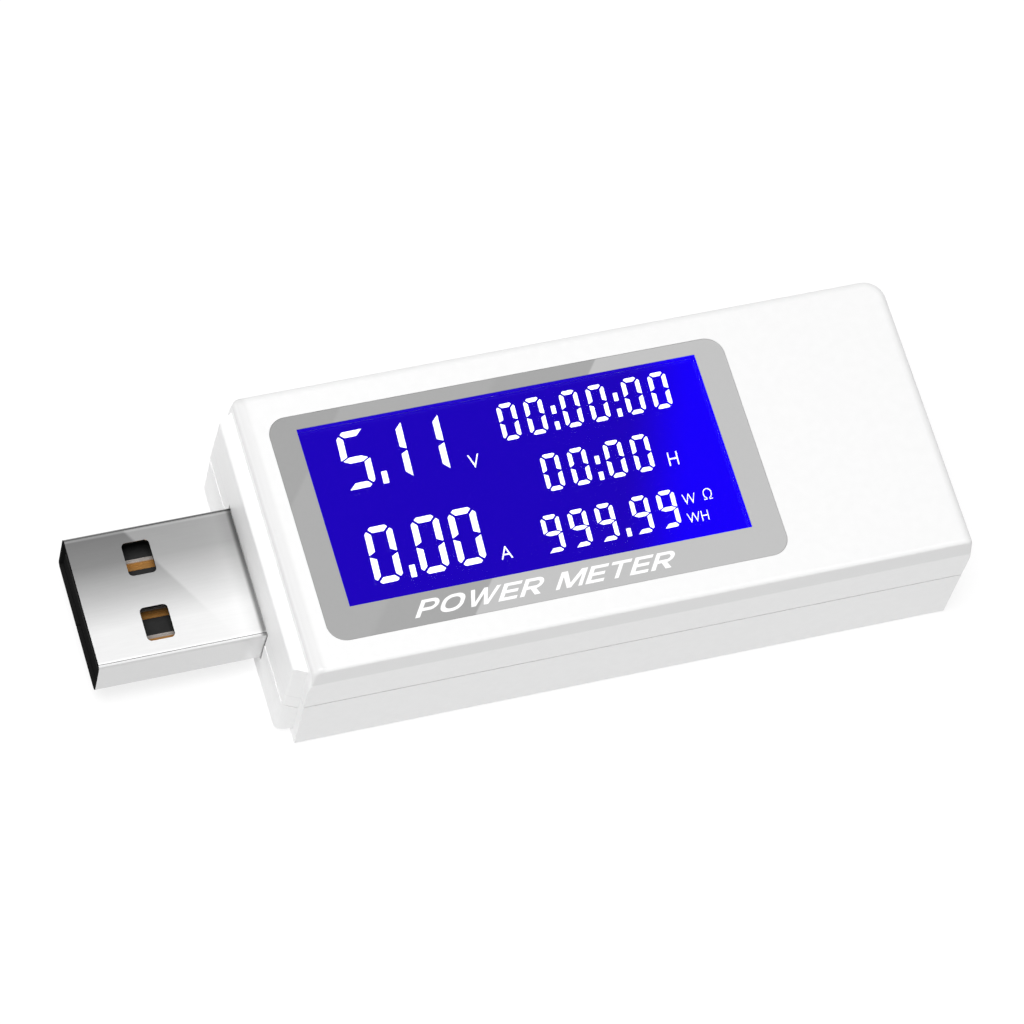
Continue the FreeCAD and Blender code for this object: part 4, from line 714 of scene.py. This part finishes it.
def display():
    """The lit film under the window and the figures and signs on it."""
    low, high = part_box("lcd_front_polariser")
    film_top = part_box("display_window")[0].z - FILM_GAP - SEGMENT_HEIGHT
    corners = [(low.x, low.y), (high.x, low.y), (high.x, high.y), (low.x, high.y)]
    film_mesh = plates("display_film", [corners], low.z, film_top - low.z)
    film = new_piece("display_film", film_mesh, lit_film())
    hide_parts("lcd_front_polariser")
    white = lit_segment()
    origin = Vector((low.x, low.y, 0)) / MM + WINDOW_SHIFT
    for name, (text, figures, pitch, room, start) in ROWS.items():
        place = (origin.x + start[0], origin.y + start[1])
        outlines = row_outlines(text, figures, pitch, room, place)
        mesh = plates(name, outlines, film_top, SEGMENT_HEIGHT, SEGMENT_ROUNDING)
        new_piece(name, mesh, white)
    for name, (text, capital, wide, start) in UNITS.items():
        place = (origin.x + start[0], origin.y + start[1])
        mesh = sign_mesh(name, text, capital, wide, place, film_top)
        new_piece(name, mesh, white)


# Capitals of the label's lettering are one unit high.
STROKE = 0.2  # widths of upright and level strokes
BAR = 0.18
LETTER_GAP = 0.14
WORD_GAP = 0.5
CORNER_STEPS = 8
RING_ROUNDING = 0.4  # radius of the O's outer corners
HOLE_ROUNDING = 0.7  # how much of the stroke's width the radius loses in the hole


def bend(x, y, radius, start):
    """Points on a quarter of a circle, from the start angle in degrees."""
    angles = [math.radians(start + 90 * step / CORNER_STEPS) for step in range(CORNER_STEPS + 1)]
    return [(x + radius * math.cos(angle), y + radius * math.sin(angle)) for angle in angles]


def bowl(width, low, inset):
    """Closed right-hand bowl of a P or R: outline of its hole, or of its body if inset is zero."""
    low, high = low + inset, 1 - inset
    radius = (high - low) / 2
    x = width - inset - radius
    return bend(x, low + radius, radius, -90) + bend(x, high - radius, radius, 0)


def ring(width, inset):
    """Outline of an O: its outside, or its hole."""
    radius = RING_ROUNDING - inset * HOLE_ROUNDING
    low, high, left, right = inset, 1 - inset, inset, width - inset
    corners = ((right - radius, low + radius, -90), (right - radius, high - radius, 0))
    corners += ((left + radius, high - radius, 90), (left + radius, low + radius, 180))
    return [point for x, y, start in corners for point in bend(x, y, radius, start)]


# Each capital: width, then closed outlines, the first the outside and the second a hole.
LETTERS = {
    "P": (0.84, [[(0, 0), (STROKE, 0), (STROKE, 0.34)] + bowl(0.84, 0.34, 0) + [(0, 1)],
                 [(STROKE, 0.34 + BAR)] + bowl(0.84, 0.34, BAR) + [(STROKE, 1 - BAR)]]),
    "O": (0.98, [ring(0.98, 0), ring(0.98, BAR)]),
    "W": (1.3, [[(0, 1), (0.18, 1), (0.38, 0.25), (0.57, 1), (0.73, 1), (0.92, 0.25), (1.12, 1),
                 (1.3, 1), (1.01, 0), (0.82, 0), (0.65, 0.66), (0.48, 0), (0.29, 0)]]),
    "E": (0.78, [[(0, 0), (0.78, 0), (0.78, BAR), (STROKE, BAR), (STROKE, 0.41), (0.72, 0.41),
                  (0.72, 0.59), (STROKE, 0.59), (STROKE, 1 - BAR), (0.78, 1 - BAR), (0.78, 1), (0, 1)]]),
    "R": (0.9, [[(0, 0), (STROKE, 0), (STROKE, 0.36), (0.38, 0.36), (0.64, 0), (0.9, 0), (0.62, 0.36)]
                + bowl(0.86, 0.36, 0)[1:] + [(0, 1)],
                [(STROKE, 0.36 + BAR)] + bowl(0.86, 0.36, BAR) + [(STROKE, 1 - BAR)]]),
    "M": (1.14, [[(0, 0), (0.17, 0), (0.17, 0.7), (0.48, 0), (0.66, 0), (0.97, 0.7), (0.97, 0),
                  (1.14, 0), (1.14, 1), (0.87, 1), (0.57, 0.28), (0.27, 1), (0, 1)]]),
    "T": (0.86, [[(0.34, 0), (0.52, 0), (0.52, 1 - BAR), (0.86, 1 - BAR), (0.86, 1), (0, 1),
                  (0, 1 - BAR), (0.34, 1 - BAR)]]),
}


def label_lettering():
    """Generic name of the instrument, printed on the label below the screen."""
    name = "label_lettering"
    outlines, x = [], 0.0
    for sign in WORDS:
        if sign == " ":
            x += WORD_GAP
            continue
        width, shapes = LETTERS[sign]
        outlines += [[(x + px, py) for px, py in shape] for shape in shapes]
        x += width + LETTER_GAP
    wide = (WORDS_END - WORDS_START) / (x - LETTER_GAP)
    curve = bpy.data.curves.new(name, "CURVE")
    curve.dimensions = "2D"
    curve.fill_mode = "BOTH"
    curve.extrude = INK_THICKNESS / 2
    for outline in outlines:
        spline = curve.splines.new("POLY")
        spline.points.add(len(outline) - 1)
        spline.use_cyclic_u = True
        for point, (px, py) in zip(spline.points, outline):
            across = WORDS_START + px * wide + py * CAPITAL_HEIGHT * CAPITAL_LEAN
            point.co = (across * MM, (BASELINE + py * CAPITAL_HEIGHT) * MM, 0, 1)
    holder = bpy.data.objects.new(name, curve)
    mesh = bpy.data.meshes.new_from_object(holder)
    bpy.data.objects.remove(holder)
    label_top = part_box("front_label")[1].z
    mesh.transform(Matrix.Translation((0, 0, label_top + INK_THICKNESS / 2)))
    mesh.name = name
    new_piece(name, mesh, printed_ink())


def snap_dome(frame):
    """The switch's dome again, as a piece of its own; on the meter, the button presses it flat."""
    mesh = frame["nodes"]["switch_dome"].data.copy()
    mesh.name = "snap_dome"
    dome = new_piece("snap_dome", mesh, tinned_metal())
    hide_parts("switch_dome")
    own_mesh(dome)


# ---------------------------------------------------------------- camera, floor and light


def make_camera():
    """Camera at the photograph's viewing angle."""
    data = bpy.data.cameras.new("camera")
    data.lens = LENS
    data.clip_start = 10 * MM
    data.clip_end = 10
    camera = add_object("camera", data)
    azimuth, elevation = math.radians(VIEW_AZIMUTH), math.radians(VIEW_ELEVATION)
    level = Vector((math.sin(azimuth), math.cos(azimuth), 0)) * math.cos(elevation)
    ahead = level - Vector((0, 0, math.sin(elevation)))
    camera.location = AIM - ahead * VIEW_DISTANCE
    camera.rotation_mode = "QUATERNION"
    roll = Quaternion((0, 0, 1), math.radians(VIEW_ROLL))
    camera.rotation_quaternion = ahead.to_track_quat("-Z", "Y") @ roll
    bpy.context.scene.camera = camera


def make_floor():
    """Plain pale floor that glows a little, so that it comes out white."""
    paint = Paint("floor_white", srgb(128), 0.7, Emission_Strength=FLOOR_GLOW, Specular_IOR_Level=0.1)
    paint.set("Emission Color", srgb(255))
    paint.set("Base Color", paint.mix(paint.noise(40.0), srgb(130), srgb(126)))
    shape = bmesh.new()
    bmesh.ops.create_grid(shape, x_segments=4, y_segments=4, size=FLOOR_SIZE / 2)
    mesh = bpy.data.meshes.new("floor")
    shape.to_mesh(mesh)
    shape.free()
    mesh.materials.append(paint.material)
    floor = add_object("floor", mesh)


def make_world():
    """Even grey surroundings with the dark card in them."""
    world = bpy.data.worlds.new("studio")
    world.use_nodes = True
    nodes, links = world.node_tree.nodes, world.node_tree.links
    place = nodes.new("ShaderNodeTexCoord").outputs["Generated"]
    facing = nodes.new("ShaderNodeVectorMath")
    facing.operation = "DOT_PRODUCT"
    facing.inputs[1].default_value = SHADE
    links.new(place, facing.inputs[0])
    level = nodes.new("ShaderNodeMapRange")
    level.interpolation_type = "SMOOTHSTEP"
    outer, inner = SHADE_EDGE
    shades = {"From Min": outer, "From Max": inner, "To Min": WORLD_GREY, "To Max": SHADE_GREY}
    for socket, value in shades.items():
        level.inputs[socket].default_value = value
    links.new(facing.outputs["Value"], level.inputs["Value"])
    background = nodes["Background"].inputs
    links.new(level.outputs[0], background["Strength"])
    background["Color"].default_value = srgb(255)
    bpy.context.scene.world = world


def make_key_light():
    """One large soft lamp, almost overhead."""
    data = bpy.data.lights.new("key", "AREA")
    data.shape = "SQUARE"
    data.size = KEY_SIZE
    data.energy = KEY_POWER
    key = add_object("key", data)
    key.location = KEY_PLACE
    key.rotation_euler = (-KEY_PLACE).to_track_quat("-Z", "Y").to_euler()


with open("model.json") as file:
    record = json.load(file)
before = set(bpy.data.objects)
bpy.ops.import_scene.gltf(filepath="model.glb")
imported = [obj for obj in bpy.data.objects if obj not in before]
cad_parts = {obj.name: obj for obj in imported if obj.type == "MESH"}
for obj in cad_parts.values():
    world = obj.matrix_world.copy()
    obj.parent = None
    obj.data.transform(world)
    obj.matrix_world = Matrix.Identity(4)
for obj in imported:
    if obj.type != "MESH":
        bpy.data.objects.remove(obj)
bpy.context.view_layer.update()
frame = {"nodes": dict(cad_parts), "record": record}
bpy.context.scene.view_settings.view_transform = "Standard"
make_camera()
make_floor()
make_world()
make_key_light()
dress_nodes(frame)
display()
label_lettering()
snap_dome(frame)
